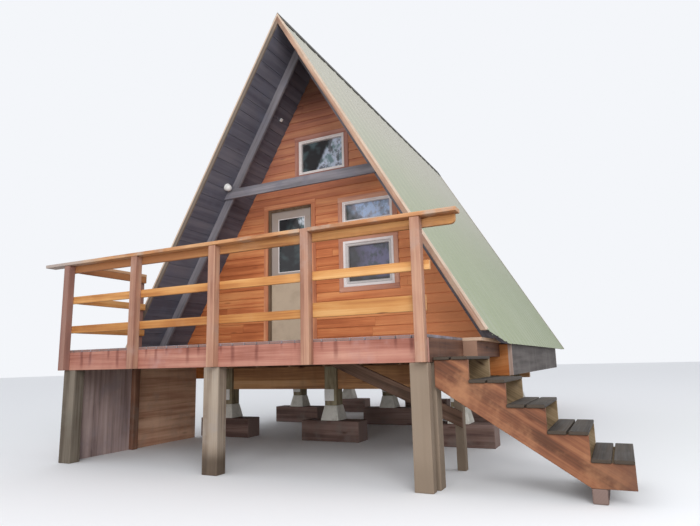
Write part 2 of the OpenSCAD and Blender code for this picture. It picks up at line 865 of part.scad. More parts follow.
// Jambs, head, stops and threshold round the doorway, flush with the leaf's back
module door_frame() {
    left = door_left - door_gap;
    right = door_right + door_gap;
    top = door_top + door_gap;
    stop_back = door_y - door_gap;
    color([0.84, 0.80, 0.76]) place() difference() {
        block([opening_left, deck_depth, 0], [opening_right, door_back_y, opening_top]);
        block([left, deck_depth - 1, threshold_thickness],
            [right, stop_back - stop_depth, top]);
        block([left, stop_back, threshold_thickness], [right, door_back_y + 1, top]);
        block([left + stop_width, deck_depth, threshold_thickness],
            [right - stop_width, door_back_y, top - stop_width]);
    }
}

// Trim boards on the wall: three round the doorway and four round each window
module opening_trim() {
    left = opening_left + trim_lap;
    right = opening_right - trim_lap;
    top = opening_top - trim_lap;
    color([0.78, 0.46, 0.24]) place()
        along_y(deck_depth - trim_thickness, trim_thickness) {
            difference() {
                translate([left - trim_width, 0])
                    square([right - left + 2 * trim_width, top + trim_width]);
                translate([left, -1]) square([right - left, top + 1]);
            }
            for (w = front_windows)
                bar_ring(w, -trim_width, trim_width);
        }
}

// Pins with their end knuckles and the plates on the jamb
module door_hinges() {
    color([0.60, 0.58, 0.54]) place()
        for (z = hinge_heights) {
            translate([hinge_x, hinge_y, z]) cylinder(h = 3 * hinge_knuckle, r = hinge_pin_radius);
            for (k = [0, 2])
                translate([0, 0, z + k * hinge_knuckle]) frame_knuckle();
        }
}

// End knuckle fixed on the pin, with its plate on the back of the jamb
module frame_knuckle() {
    translate([hinge_x, hinge_y, 0]) cylinder(h = hinge_knuckle, r = hinge_radius);
    translate([hinge_x - hinge_plate_width, door_back_y, 0])
        cube([hinge_plate_width, hinge_plate_thickness, hinge_knuckle]);
}

// Middle knuckle that turns on the pin, with its plate on the back of the leaf
module leaf_knuckle() {
    difference() {
        union() {
            translate([hinge_x, hinge_y, hinge_clearance])
                cylinder(h = hinge_knuckle - 2 * hinge_clearance, r = hinge_radius);
            translate([hinge_x, door_back_y, hinge_clearance])
                cube([hinge_plate_width, hinge_plate_thickness,
                    hinge_knuckle - 2 * hinge_clearance]);
        }
        translate([hinge_x, hinge_y, -1])
            cylinder(h = hinge_knuckle + 2, r = hinge_pin_radius + hinge_clearance);
    }
}

// Leaf with a window in its upper half and the middle knuckles of its hinges
module door_leaf() {
    color([0.75, 0.68, 0.56]) place() {
        difference() {
            block([door_left, door_y, door_bottom], [door_right, door_back_y, door_top]);
            block([door_left + door_stile, door_y - 1, door_glass_height],
                [door_right - door_stile, door_back_y + 1, door_top - door_stile]);
        }
        for (z = hinge_heights)
            translate([0, 0, z + hinge_knuckle]) leaf_knuckle();
    }
}

module door_glass() {
    mid = door_y + door_thickness / 2;
    color([0.16, 0.18, 0.20]) place()
        block([door_left + door_stile, mid - glass_thickness / 2, door_glass_height],
            [door_right - door_stile, mid + glass_thickness / 2, door_top - door_stile]);
}

// Round plate, neck and ball of one knob
module knob() {
    ball = knob_diameter / 2;
    rotate([90, 0, 0]) {
        cylinder(h = knob_plate, r = ball);
        cylinder(h = knob_length - ball, r = knob_neck / 2);
        translate([0, 0, knob_length - ball]) sphere(ball);
    }
}

module door_knob() {
    color([0.55, 0.50, 0.42]) place() {
        translate([door_right - knob_inset, door_y, knob_height]) knob();
        translate([door_right - knob_inset, door_back_y, knob_height])
            rotate([0, 0, 180]) knob();
    }
}

// Ring of bars inside a window's area
module bar_ring(w, inset, bar) {
    difference() {
        window_area(w, inset);
        window_area(w, inset + bar);
    }
}

module window_frames() {
    rear_glass_depth = glass_recess - glass_thickness;
    color([0.85, 0.82, 0.78]) place() {
        along_y(deck_depth - trim_thickness, frame_depth)
            for (w = front_windows) bar_ring(w, 0, frame_bar);
        along_y(deck_depth - trim_thickness + sash_recess, glass_recess - sash_recess)
            for (w = front_windows) if (w[3]) bar_ring(w, frame_bar, sash_bar);
        along_y(rear_wall_y - frame_depth, frame_depth)
            for (w = rear_windows) bar_ring(w, 0, frame_bar);
        along_y(rear_wall_y - rear_glass_depth, rear_glass_depth - sash_recess)
            for (w = rear_windows) if (w[3]) bar_ring(w, frame_bar, sash_bar);
    }
}

module window_glass() {
    color([0.16, 0.20, 0.24]) place() {
        along_y(glass_y, glass_thickness)
            for (w = front_windows) window_area(w, frame_bar);
        along_y(rear_wall_y - glass_recess, glass_thickness)
            for (w = rear_windows) window_area(w, frame_bar);
    }
}

// Round lamp under the left roof boards, beside the collar beam's end
module porch_light() {
    light_height = collar_height + collar_depth + light_rise;
    x = -roof_x(light_height, fitted_inner);
    lamp_y = deck_depth - porch_rafter_gap - light_y_gap;
    dome = light_width / 2 - light_rim;
    color([0.92, 0.92, 0.92]) place() translate([x, lamp_y, light_height])
        rotate([0, 180 - roof_angle, 0]) rotate_extrude() {
            square([light_width / 2, light_base]);
            intersection() {
                translate([0, light_depth - dome]) circle(dome);
                square([dome, light_depth]);
            }
        }
}

roof_sheet_left();
roof_sheet_right();
roof_boards_left();
roof_boards_right();
ridge_cap();
rafters_left();
rafters_right();
collar_beam();
barge_boards_left();
barge_boards_right();
front_wall_left();
front_wall_right();
front_gable();
rear_wall();
cabin_floor();
floor_joists();
floor_beams();
eave_beams();
sill_plates();
end_skirts();
side_skirts();
corner_boards();
pier_posts();
pier_brackets();
pier_blocks();
sleepers();
deck_floor();
front_rim();
side_rims();
deck_joists();
support_posts();
deck_brace();
stair_ledger();
left_skirt();
rail_posts();
rail_caps();
front_rails();
side_rails();
stair_stringers();
stair_treads();
door_frame();
opening_trim();
door_hinges();
door_leaf();
door_glass();
door_knob();
window_frames();
window_glass();
porch_light();
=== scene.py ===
"""Dresses a timber A-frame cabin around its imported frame.

Every length is in metres, in the frame's own axes: X to the right, Y from the deck to the
rear, Z up from the level that it stands on. Timber carries three attributes of its own:
"grain", the distance along, across and through each board, "along", its direction, and
"tone", one shade a board.
"""

import logging
import math
import zlib
from dataclasses import dataclass, field, replace
from enum import Enum
from typing import ClassVar

import bmesh
import bpy
import numpy as np
from mathutils import Matrix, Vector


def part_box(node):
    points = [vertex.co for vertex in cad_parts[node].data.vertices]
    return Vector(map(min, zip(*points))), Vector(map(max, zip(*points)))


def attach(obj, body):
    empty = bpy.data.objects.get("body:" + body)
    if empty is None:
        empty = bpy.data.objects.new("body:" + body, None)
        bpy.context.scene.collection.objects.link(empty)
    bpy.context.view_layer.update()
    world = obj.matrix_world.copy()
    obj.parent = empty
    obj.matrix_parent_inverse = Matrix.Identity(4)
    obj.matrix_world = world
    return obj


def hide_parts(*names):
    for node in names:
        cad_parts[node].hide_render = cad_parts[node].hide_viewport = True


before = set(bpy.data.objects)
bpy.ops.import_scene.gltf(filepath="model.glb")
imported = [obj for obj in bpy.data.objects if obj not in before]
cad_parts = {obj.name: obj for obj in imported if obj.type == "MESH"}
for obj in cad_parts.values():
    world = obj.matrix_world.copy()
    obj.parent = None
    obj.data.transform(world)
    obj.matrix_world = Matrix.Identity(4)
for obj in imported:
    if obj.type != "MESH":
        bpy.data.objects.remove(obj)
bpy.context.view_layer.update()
LOG = logging.getLogger("cabin")
IMAGE_WIDTH = 700
HOUSE = "frame"
DOOR = "door"

Array = np.ndarray
Piece = bpy.types.Object
Socket = bpy.types.NodeSocket


def srgb(code: str) -> tuple[float, ...]:
    """Turns a screen colour, six hexadecimal digits, into linear RGBA.

    Args:
        code: The colour's digits.

    Returns:
        Its red, green, blue and alpha.
    """
    part = np.array(list(bytes.fromhex(code))) / 255.0
    linear = np.where(part <= 0.04045, part / 12.92, ((part + 0.055) / 1.055) ** 2.4)
    return (*(float(v) for v in linear), 1.0)


def random_for(name: str) -> np.random.Generator:
    """Returns a random source that is the same each run for one name."""
    return np.random.default_rng(zlib.crc32(name.encode()))


class WindowKind(Enum):
    """Where a pane sits.

    Values: share of it that shows a painted reflection, slant and softness of that part's edge,
    and the part's foot and head as shares of the pane's height.
    """

    GABLE = (0.485, -0.33, 0.05, -1.0, 2.0)
    TRANSOM = (0.82, 0.25, 0.30, -1.0, 1.04)
    LOW = (0.66, 0.15, 0.60, 0.10, 2.0)
    DOOR = (-0.03, 0.67, 0.04, -1.0, 2.0)


@dataclass
class Surface:
    """A surface held as whole arrays.

    Attributes:
        points: One row of three coordinates for each point.
        faces: Arrays of point numbers, one array for each count of corners.
        grain: Distance along, across and through the board, or none for the coordinates.
        tone: Shade of the board at each point, or one for all.
        along: Unit vector down each board's length, or none where there is no end grain.
    """

    points: Array
    faces: list[Array]
    grain: Array | None = None
    tone: Array | float = 0.5
    along: Array | None = None

    def __post_init__(self) -> None:
        """Fills in what isn't given, for each point."""
        self.grain = self.points.copy() if self.grain is None else self.grain
        self.tone = np.broadcast_to(self.tone, len(self.points))
        self.along = np.zeros_like(self.points) if self.along is None else self.along

    @staticmethod
    def joined(parts: "list[Surface]") -> "Surface":
        """Puts several surfaces into one, with the point numbers shifted to match.

        Args:
            parts: The surfaces.

        Returns:
            The one surface.
        """
        starts = np.cumsum([0] + [len(part.points) for part in parts[:-1]])
        faces = [face + start for part, start in zip(parts, starts) for face in part.faces]
        points, grain, tone, along = (
            np.concatenate([getattr(part, word) for part in parts])
            for word in ("points", "grain", "tone", "along")
        )
        return Surface(points, faces, grain, tone, along)

    def to_object(self, name: str) -> Piece:
        """Makes the Blender object of this surface, with its faces turned outwards.

        Args:
            name: Name of the piece.

        Returns:
            The new object, at the origin.
        """
        mesh = bpy.data.meshes.new(name)
        polygons = [tuple(row) for block in self.faces for row in block.tolist()]
        mesh.from_pydata(self.points.tolist(), [], polygons)
        for word, values in (("grain", self.grain), ("along", self.along)):
            layer = mesh.attributes.new(word, "FLOAT_VECTOR", "POINT")
            layer.data.foreach_set("vector", values.astype(np.float32).ravel())
        tone = mesh.attributes.new("tone", "FLOAT", "POINT")
        tone.data.foreach_set("value", self.tone.astype(np.float32))
        solid = bmesh.new()
        solid.from_mesh(mesh)
        bmesh.ops.recalc_face_normals(solid, faces=solid.faces)
        solid.to_mesh(mesh)
        solid.free()
        mesh.polygons.foreach_set("use_smooth", np.zeros(len(mesh.polygons), bool))
        mesh.update()
        piece = bpy.data.objects.new(name, mesh)
        bpy.context.scene.collection.objects.link(piece)
        return piece


def quads(number: Array) -> Array:
    """Returns the four-cornered faces of a grid of point numbers."""
    corners = [number[:-1, :-1], number[1:, :-1], number[1:, 1:], number[:-1, 1:]]
    return np.stack(corners, axis=-1).reshape(-1, 4)


def strip(first: Array, second: Array) -> Array:
    """Returns the four-cornered faces between two rows of point numbers."""
    return np.stack([first[:-1], first[1:], second[1:], second[:-1]], axis=-1)


def shell(outer: Array, inner: Array) -> tuple[Array, list[Array]]:
    """Closes two grids of points, one behind the other, into a thin plate.

    Args:
        outer: Points of the outer face, by row and column.
        inner: Points of the inner face.

    Returns:
        The points as rows, each outer one before its inner one, and the arrays of faces.
    """
    points = np.stack([outer, inner], axis=2)
    number = np.arange(points.size // 3).reshape(points.shape[:3])
    top, low = number[..., 0], number[..., 1]
    faces = [quads(top), quads(low[:, ::-1])]
    faces += [strip(top[i], low[i]) for i in (0, -1)]
    faces += [strip(top[:, i], low[:, i]) for i in (0, -1)]
    return points.reshape(-1, 3), faces


def lofted(rings: Array) -> tuple[Array, list[Array]]:
    """Joins rings of points into tubes with closed ends.

    Formula: ring r of tube k has m points; side faces join point j and j + 1 of ring r with
    the same two points of ring r + 1, and the first and last rings close as flat faces.

    Args:
        rings: Points in the shape (tubes, rings, points in a ring, 3).

    Returns:
        The points as rows, and the arrays of faces.
    """
    number = np.arange(rings.size // 3).reshape(rings.shape[:3])
    here, there = number[:, :-1], number[:, 1:]
    corners = [here, np.roll(here, -1, axis=2), np.roll(there, -1, axis=2), there]
    sides = np.stack(corners, axis=-1).reshape(-1, 4)
    return rings.reshape(-1, 3), [sides, number[:, 0], number[:, -1, ::-1]]


def planks(
    starts: Array, ends: Array, sides: Array, width: float, depth: float,
    source: np.random.Generator, chamfer: float = 0.003, bow: float = 0.0, steps: int = 1,
) -> Surface:
    """Makes straight boards, all at once.

    Formula: a rectangle of the width and depth with its corners cut by the chamfer is carried
    from start to end. The end rings are smaller by the chamfer on every side. The middle is
    moved sideways by bow times the sine of half a turn along the length.

    Args:
        starts: Centre of the first end of each board, one row each.
        ends: Centre of the other end.
        sides: Unit vector of each board's width.
        width: Width of the boards.
        depth: Thickness of the boards.
        source: Random source for bow, tone and grain.
        chamfer: Size of the cut edges.
        bow: Largest sideways bend.
        steps: Pieces that the length is cut into.

    Returns:
        The surface of all boards.
    """
    count = len(starts)
    along = ends - starts
    length = np.linalg.norm(along, axis=1)
    along = along / length[:, None]
    up = np.cross(along, sides)
    side_sign = np.array([1, 1, 1, 1, -1, -1, -1, -1])
    side_cut = np.array([1, 0, 0, 1, 1, 0, 0, 1])
    up_sign = np.array([1, 1, -1, -1, -1, -1, 1, 1])
    up_cut = 1 - side_cut
    at = np.concatenate([[0.0], np.linspace(0, 1, steps + 1), [1.0]])
    shrink = np.concatenate([[1.0], np.zeros(steps + 1), [1.0]])[None, :, None] * chamfer
    inset = (chamfer / length)[:, None]
    place = inset + at * (1 - 2 * inset)
    place[:, 0] = 0.0
    place[:, -1] = 1.0
    whole = np.ones((count, 1, 1))
    across = side_sign * (whole * width / 2 - shrink - side_cut * chamfer)
    through = up_sign * (whole * depth / 2 - shrink - up_cut * chamfer)
    bend = bow * source.uniform(-1, 1, (count, 2))
    wave = np.sin(np.pi * place)[:, :, None]
    distance = (place * length[:, None])[:, :, None] + 0 * across
    rings = (
        starts[:, None, None, :]
        + distance[..., None] * along[:, None, None, :]
        + (across + wave * bend[:, None, None, 0])[..., None] * sides[:, None, None, :]
        + (through + wave * bend[:, None, None, 1])[..., None] * up[:, None, None, :]
    )
    points, faces = lofted(rings)
    offset = source.uniform(0, 40, (count, 1, 1, 3))
    grain = np.stack([distance, across, through], axis=-1) + offset
    tone = np.broadcast_to(source.uniform(0, 1, (count, 1, 1)), across.shape)
    heading = np.broadcast_to(along[:, None, None, :], rings.shape)
    return Surface(points, faces, grain.reshape(-1, 3), tone.reshape(-1), heading.reshape(-1, 3))


def heads(places: Array, axis: tuple | Array, radius: float, height: float) -> Surface:
    """Makes the heads of screws or bolts, all at once.

    Formula: round each place a six-cornered ring stands on the surface, a second one of the
    same size lies at 0.6 of the height and a smaller one at the full height.

    Args:
        places: Foot of each head, one row each.
        axis: Unit vector out of the surface.
        radius: Radius of the head.
        height: Height of the head.

    Returns:
        The surface of all heads.
    """
    axis = np.asarray(axis, float)
    helper = np.array([0.0, 1.0, 0.0]) if abs(axis[1]) < 0.9 else np.array([1.0, 0.0, 0.0])
    first = np.cross(axis, helper)
    first /= np.linalg.norm(first)
    second = np.cross(axis, first)
    turn = np.linspace(0, 2 * np.pi, 6, endpoint=False)
    circle = np.cos(turn)[:, None] * first + np.sin(turn)[:, None] * second
    level = np.array([-0.2, 0.6, 1.0])[:, None, None] * height * axis
    ring = level + np.array([1.0, 1.0, 0.7])[:, None, None] * radius * circle
    return Surface(*lofted(places[:, None, None, :] + ring[None]))


def node_solids(node: str) -> list[tuple[Array, Array]]:
    """Reads the separate solids of a CAD node.

    Points at the same place are merged, and the lowest point number is spread over the
    triangles until each solid has one number.

    Args:
        node: Name of the CAD node.

    Returns:
        The points and triangles of each solid, from front to rear and from low to high.
    """
    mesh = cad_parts[node].data
    coords = np.zeros(len(mesh.vertices) * 3, np.float32)
    mesh.vertices.foreach_get("co", coords)
    mesh.calc_loop_triangles()
    corners = np.zeros(len(mesh.loop_triangles) * 3, np.int32)
    mesh.loop_triangles.foreach_get("vertices", corners)
    rounded = np.round(coords.reshape(-1, 3).astype(float), 5)
    points, where = np.unique(rounded, axis=0, return_inverse=True)
    triangles = where.reshape(-1)[corners].reshape(-1, 3)
    label, spread = None, np.arange(len(points))
    while not np.array_equal(spread, label):
        label, spread = spread, spread.copy()
        lowest = label[triangles].min(axis=1)
        np.minimum.at(spread, triangles.ravel(), np.repeat(lowest, 3))
    solids = []
    for mark in np.unique(label[triangles[:, 0]]):
        chosen = triangles[label[triangles[:, 0]] == mark]
        used, renumbered = np.unique(chosen, return_inverse=True)
        solids.append((points[used], renumbered.reshape(-1, 3)))
    return sorted(solids, key=lambda solid: tuple(solid[0].min(axis=0)[[1, 2, 0]]))


def node_corners(node: str) -> list[tuple[Array, Array]]:
    """Returns the lowest and highest corner of each solid in a CAD node."""
    return [(points.min(axis=0), points.max(axis=0)) for points, _ in node_solids(node)]


def timber_solid(points: Array, faces: Array, source: np.random.Generator) -> Surface:
    """Measures one solid along, across and through its board.

    Formula: the board's own axes are the principal directions of its points, and a random
    step along each keeps two boards from having the same figure.

    Args:
        points: Points of the solid.
        faces: Its faces.
        source: Random source.

    Returns:
        The solid with its grain, tone and direction.
    """
    centred = points - points.mean(axis=0)
    _, _, axes = np.linalg.svd(centred, full_matrices=False)
    grain = centred @ axes.T + source.uniform(0, 40, 3)
    return Surface(points, [faces], grain, source.uniform(), np.broadcast_to(axes[0], points.shape))


class Graph:
    """Builds the nodes of one material or world with short calls."""

    def __init__(
        self, owner: bpy.types.ID, shader: str = "BsdfPrincipled", output: str = "OutputMaterial"
    ) -> None:
        """Clears the owner's nodes but for its shader and output.

        Args:
            owner: The material or world.
            shader: Type of its shader, without ShaderNode.
            output: Type of its output.
        """
        self.owner = owner
        owner.use_nodes = True
        self.tree = owner.node_tree
        self.tree.nodes.clear()
        self.shader = self.tree.nodes.new("ShaderNode" + shader)
        self.add(output, {"Surface": self.shader.outputs[0]})

    def add(self, kind: str, inputs: dict | None = None, **settings: object) -> bpy.types.Node:
        """Adds a node, sets its values and links its inputs.

        Args:
            kind: Name of the node's type, without ShaderNode.
            inputs: Values or output sockets, by input name or number.
            settings: Properties of the node.

        Returns:
            The node.
        """
        node = self.tree.nodes.new("ShaderNode" + kind)
        for name, value in settings.items():
            setattr(node, name, value)
        for key, value in (inputs or {}).items():
            self.feed(node.inputs[key], value)
        return node

    def feed(self, socket: Socket, value: object) -> None:
        """Links an output socket to an input, or sets a plain value there.

        Args:
            socket: The input.
            value: An output socket or a plain value.
        """
        if isinstance(value, Socket):
            self.tree.links.new(value, socket)
        else:
            socket.default_value = value

    def shade(self, colour: object, rough: object, specular: float = 0.5) -> None:
        """Gives the shader its colour, roughness and level of reflection.

        Args:
            colour: Base colour.
            rough: Roughness.
            specular: Level of reflection.
        """
        values = {"Base Color": colour, "Roughness": rough, "Specular IOR Level": specular}
        for name, value in values.items():
            self.feed(self.shader.inputs[name], value)

    def attribute(self, name: str, part: str) -> Socket:
        """Returns an output, Vector or Fac, of one of the mesh's attributes."""
        return self.add("Attribute", attribute_name=name).outputs[part]

    def place(self) -> Socket:
        """Returns the object coordinates."""
        return self.add("TexCoord").outputs["Object"]

    def facing(self, vector: Socket) -> Socket:
        """Returns the dot product of a vector and the normal, in the object's own axes."""
        inputs = {0: vector, 1: self.add("TexCoord").outputs["Normal"]}
        return self.add("VectorMath", inputs, operation="DOT_PRODUCT").outputs[1]

    def scaled(self, vector: Socket, scale: tuple) -> Socket:
        """Returns a vector stretched by three factors."""
        return self.add("Mapping", {"Vector": vector, "Scale": scale}).outputs[0]

    def noise(self, vector: Socket, scale: float, detail: float = 3.0, rough: float = 0.55) -> Socket:
        """Returns a noise value from 0 to 1.

        Args:
            vector: Where it is read.
            scale: Features in a metre of the vector.
            detail: Number of finer layers.
            rough: Strength of the finer layers.

        Returns:
            The value's socket.
        """
        inputs = {"Vector": vector, "Scale": scale, "Detail": detail, "Roughness": rough}
        return self.add("TexNoise", inputs).outputs[0]

    def streaks(self, vector: Socket, scale: tuple, detail: float, rough: float = 0.55) -> Socket:
        """Returns noise at one feature a metre, on a vector stretched by three factors."""
        return self.noise(self.scaled(vector, scale), 1.0, detail, rough)

    def math(self, operation: str, first: object, second: object = 0.0) -> Socket:
        """Returns the result of one arithmetic step."""
        return self.add("Math", {0: first, 1: second}, operation=operation).outputs[0]

    def plus(self, first: object, second: object, share: float = 1.0) -> Socket:
        """Returns the first value plus a share of the second."""
        second = second if share == 1.0 else self.math("MULTIPLY", second, share)
        return self.math("ADD", first, second)

    def between(
        self, value: object, low: float, high: float, start: float = 0.0, stop: float = 1.0
    ) -> Socket:
        """Returns value carried from the range low to high into start to stop, clamped."""
        inputs = {0: value, 1: low, 2: high, 3: start, 4: stop}
        return self.add("MapRange", inputs, interpolation_type="SMOOTHSTEP").outputs[0]

    def mix(self, factor: object, first: object, second: object, how: str = "MIX") -> Socket:
        """Returns a blend of two colours."""
        inputs = {0: factor, 6: first, 7: second}
        return self.add("Mix", inputs, data_type="RGBA", blend_type=how).outputs[2]

    def darken(self, factor: object, colour: object, by: str) -> Socket:
        """Returns a colour multiplied by that of a code, as far as the factor says."""
        return self.mix(factor, colour, srgb(by), "MULTIPLY")

    def ramp(self, value: object, stops: list[tuple[float, tuple]]) -> Socket:
        """Returns a colour from a scale of colours.

        Args:
            value: Place on the scale, from 0 to 1.
            stops: Places and colours, in order.

        Returns:
            The colour's socket.
        """
        node = self.add("ValToRGB", {0: value})
        while len(node.color_ramp.elements) < len(stops):
            node.color_ramp.elements.new(0.5)
        for element, (place, colour) in zip(node.color_ramp.elements, stops):
            element.position = place
            element.color = colour
        return node.outputs[0]

    def split(self, vector: Socket) -> list[Socket]:
        """Returns the three parts of a vector."""
        return list(self.add("SeparateXYZ", {0: vector}).outputs)

    def bump(self, height: object, depth: float, strength: float = 1.0) -> None:
        """Gives the shader a bump.

        Args:
            height: Height value from 0 to 1.
            depth: Height in metres of the value 1.
            strength: Share of the effect.
        """
        inputs = {"Height": height, "Distance": depth, "Strength": strength}
        self.feed(self.shader.inputs["Normal"], self.add("Bump", inputs).outputs[0])


@dataclass(frozen=True)
class Finish:
    """Base of all finishes: one material each, made on first use.

    Attributes:
        name: Name of the material.
        codes: Its colours, each as six hexadecimal digits.
        made: Materials made so far, by name.
    """

    name: str
    codes: str
    made: ClassVar[dict[str, bpy.types.Material]] = {}

    def tints(self) -> list[tuple[float, ...]]:
        """Returns the finish's colours as linear RGBA."""
        return [srgb(code) for code in self.codes.split()]

    def paint(self, graph: Graph) -> None:
        """Fills the material's nodes."""
        raise NotImplementedError

    def dress(self, piece: Piece) -> None:
        """Gives a piece this finish in place of what it had.

        Args:
            piece: The piece.
        """
        if self.name not in self.made:
            self.made[self.name] = bpy.data.materials.new(self.name)
            self.paint(Graph(self.made[self.name]))
        piece.data.materials.clear()
        piece.data.materials.append(self.made[self.name])


@dataclass(frozen=True)
class Timber(Finish):
    """Sawn timber with fibres, wide figure, knots and weather.

    Its four colours are those of the late wood, of most of it, of the palest figure and of
    what weather has turned.

    Attributes:
        weather: Share of the surface that has turned.
        knots: Strength of the knots.
        drips: Strength of dark runs of water.
        spread: Share of the tone that differs from board to board.
        rough: Roughness of the surface.
        foot: Height under which it is dark with damp, or 0.
        gable: Height over which it is dark with age and with painted shade, or 0.
        painted_light_haze: Share of grey, painted shade, that the colour takes on up to that height.
        end: Colour of the end grain, or none for that of the sides.
    """

    KNOT: ClassVar[str] = "6E3E26"
    RUN: ClassVar[str] = "60423A"
    DAMP: ClassVar[str] = "786C60"
    PAINTED_LIGHT_HAZE: ClassVar[str] = "8C7C82"
    SHADE: ClassVar[str] = "76767C"
    RING_DENSITY: ClassVar[float] = 700.0
    FIBRES: ClassVar[tuple] = (1.6, 70.0, 70.0)
    FIGURE: ClassVar[tuple] = (0.55, 13.0, 13.0)
    KNOT_CELLS: ClassVar[tuple] = (1.5, 6.5, 6.5)
    RUNNING: ClassVar[tuple] = (11.0, 11.0, 0.8)

    weather: float = 0.3
    knots: float = 0.6
    drips: float = 0.0
    spread: float = 0.3
    rough: float = 0.62
    foot: float = 0.0
    gable: float = 0.0
    painted_light_haze: float = 0.0
    end: str = ""

    def paint(self, graph: Graph) -> None:
        """Fills the material's nodes.

        Formula: fibres and figure are noise drawn out along the grain; their sum with the
        board's tone picks a colour between dark and light. Knots are dark where the
        distance to scattered points is small.

        Args:
            graph: Graph of the material.
        """
        dark, middle, light, worn = self.tints()
        grain = graph.attribute("grain", "Vector")
        place = graph.place()
        fibre = graph.streaks(grain, self.FIBRES, 4.0, 0.6)
        figure = graph.streaks(grain, self.FIGURE, 3.0, 0.5)
        patch = graph.noise(place, 1.9)
        board = graph.math("SUBTRACT", graph.attribute("tone", "Fac"), 0.5)
        total = graph.plus(graph.between(figure, 0.3, 0.7, 0.1, 0.75), board, self.spread)
        total = graph.plus(total, graph.between(fibre, 0.3, 0.7, -0.12, 0.2))
        total = graph.plus(total, graph.between(patch, 0.3, 0.7, -0.14, 0.14))
        colour = graph.ramp(total, [(0.05, dark), (0.45, middle), (0.95, light)])
        vector = graph.scaled(grain, self.KNOT_CELLS)
        cells = graph.add("TexVoronoi", {"Vector": vector, "Scale": 1.0})
        knot = graph.between(cells.outputs["Distance"], 0.04, 0.13, self.knots, 0.0)
        colour = graph.darken(knot, colour, self.KNOT)
        turned = graph.noise(place, 3.1, 4.0, 0.65)
        edge = 0.78 - 0.5 * self.weather
        share = graph.between(turned, edge - 0.16, edge + 0.12, 0.0, min(0.9, self.weather * 3))
        colour = graph.mix(share, colour, worn)
        if self.drips > 0:
            runs = graph.streaks(place, self.RUNNING, 2.0, 0.6)
            colour = graph.darken(graph.between(runs, 0.5, 0.8, 0.0, self.drips), colour, self.RUN)
        height = graph.split(place)[2]
        if self.foot > 0:
            damp = graph.plus(height, patch, -0.22)
            damp = graph.between(damp, self.foot - 0.2, self.foot, 0.8, 0.0)
            colour = graph.darken(damp, colour, self.DAMP)
        # Painted shade towards the top: the colour turns greyer, then darker, on top of its age.
        if self.gable > 0:
            grey = graph.between(height, self.gable - 2.4, self.gable, 0.0, self.painted_light_haze)
            colour = graph.mix(grey, colour, srgb(self.PAINTED_LIGHT_HAZE))
            shade = graph.between(height, self.gable, self.gable + 0.55, 0.0, 0.85)
            colour = graph.darken(shade, colour, self.SHADE)
        colour = self.stain_and_light(graph, colour)
        away = graph.math("ABSOLUTE", graph.facing(graph.attribute("along", "Vector")))
        squares = [
            graph.math("POWER", graph.math("FRACT", part), 2.0) for part in graph.split(grain)[1:]
        ]
        radius = graph.math("SQRT", graph.plus(*squares))
        rings = graph.math("SINE", graph.math("MULTIPLY", radius, self.RING_DENSITY))
        cut = graph.mix(graph.between(rings, -0.6, 0.8), middle, light)
        cut = graph.mix(0.65, cut, srgb(self.end)) if self.end else graph.mix(0.3, cut, worn)
        colour = graph.mix(graph.between(away, 0.8, 0.9), colour, cut)
        graph.shade(
            colour, graph.between(fibre, 0.2, 0.8, self.rough - 0.1, self.rough + 0.1), 0.28
        )
        relief = graph.math("SUBTRACT", fibre, graph.math("MULTIPLY", knot, 0.35))
        graph.bump(relief, 0.0022, 0.8)

    def stain_and_light(self, graph: Graph, colour: object) -> Socket:
        """Returns the colour with marks of its own, stains and painted light; plain timber has none.
        """
        return colour


@dataclass(frozen=True)
class FadeAndPaintedLightTimber(Timber):
    """Timber that takes on another colour towards one end: wear on some, painted light and shade on
    others.

    Attributes:
        fade_and_light: Colour of that end.
        start: X at which it has all turned.
        stop: X from which it keeps its own colour.
    """

    fade_and_light: str = ""
    start: float = 0.0
    stop: float = 0.0

    def stain_and_light(self, graph: Graph, colour: object) -> Socket:
        """Returns the colour, mixed with that of the end by x and a little noise.

        Args:
            graph: Graph of the material.
            colour: Colour so far.

        Returns:
            The colour's socket.
        """
        # The end colour is wear on some finishes and painted light and shade on others.
        cloud = graph.math("SUBTRACT", graph.noise(graph.place(), 5.0, 3.0, 0.6), 0.5)
        at = graph.plus(graph.split(graph.place())[0], cloud, 0.6)
        return graph.mix(
            graph.between(at, self.start, self.stop, 0.85, 0.0), colour, srgb(self.fade_and_light)
        )


@dataclass(frozen=True)
class DrippedTimber(Timber):
    """Timber with dark runs under each gap of the deck boards.

    Attributes:
        step: Distance between the gaps.
        start: X of one of the gaps.
        top: Height at which the runs start.
    """

    STAIN: ClassVar[str] = "A8888A"
    LONGEST: ClassVar[float] = 0.26

    step: float = 0.147
    start: float = 0.0
    top: float = 0.0

    def stain_and_light(self, graph: Graph, colour: object) -> Socket:
        """Returns the colour with its runs.

        Formula: each gap has a number of its own that sets its run's length and strength;
        the run is dark where x lies near the gap and the depth below the top is less.

        Args:
            graph: Graph of the material.
            colour: Colour so far.

        Returns:
            The colour's socket.
        """
        x, _, z = graph.split(graph.place())
        wobble = graph.streaks(graph.place(), (9.0, 9.0, 5.0), 2.0)
        along = graph.math("DIVIDE", graph.math("SUBTRACT", x, self.start), self.step)
        along = graph.plus(along, graph.between(wobble, 0.2, 0.8, -0.06, 0.06))
        cell = graph.math("ROUND", along)
        away = graph.math("ABSOLUTE", graph.math("SUBTRACT", along, cell))
        chance = graph.add("TexWhiteNoise", {"W": cell}, noise_dimensions="1D").outputs[0]
        width = graph.between(chance, 0.0, 1.0, 0.10, 0.26)
        down = graph.math("SUBTRACT", self.top, z)
        length = graph.math("MULTIPLY", chance, self.LONGEST)
        fade = graph.between(graph.math("SUBTRACT", length, down), 0.0, 0.12)
        near = graph.between(graph.math("DIVIDE", away, width), 0.15, 1.0, 0.6, 0.0)
        return graph.darken(graph.math("MULTIPLY", fade, near), colour, self.STAIN)


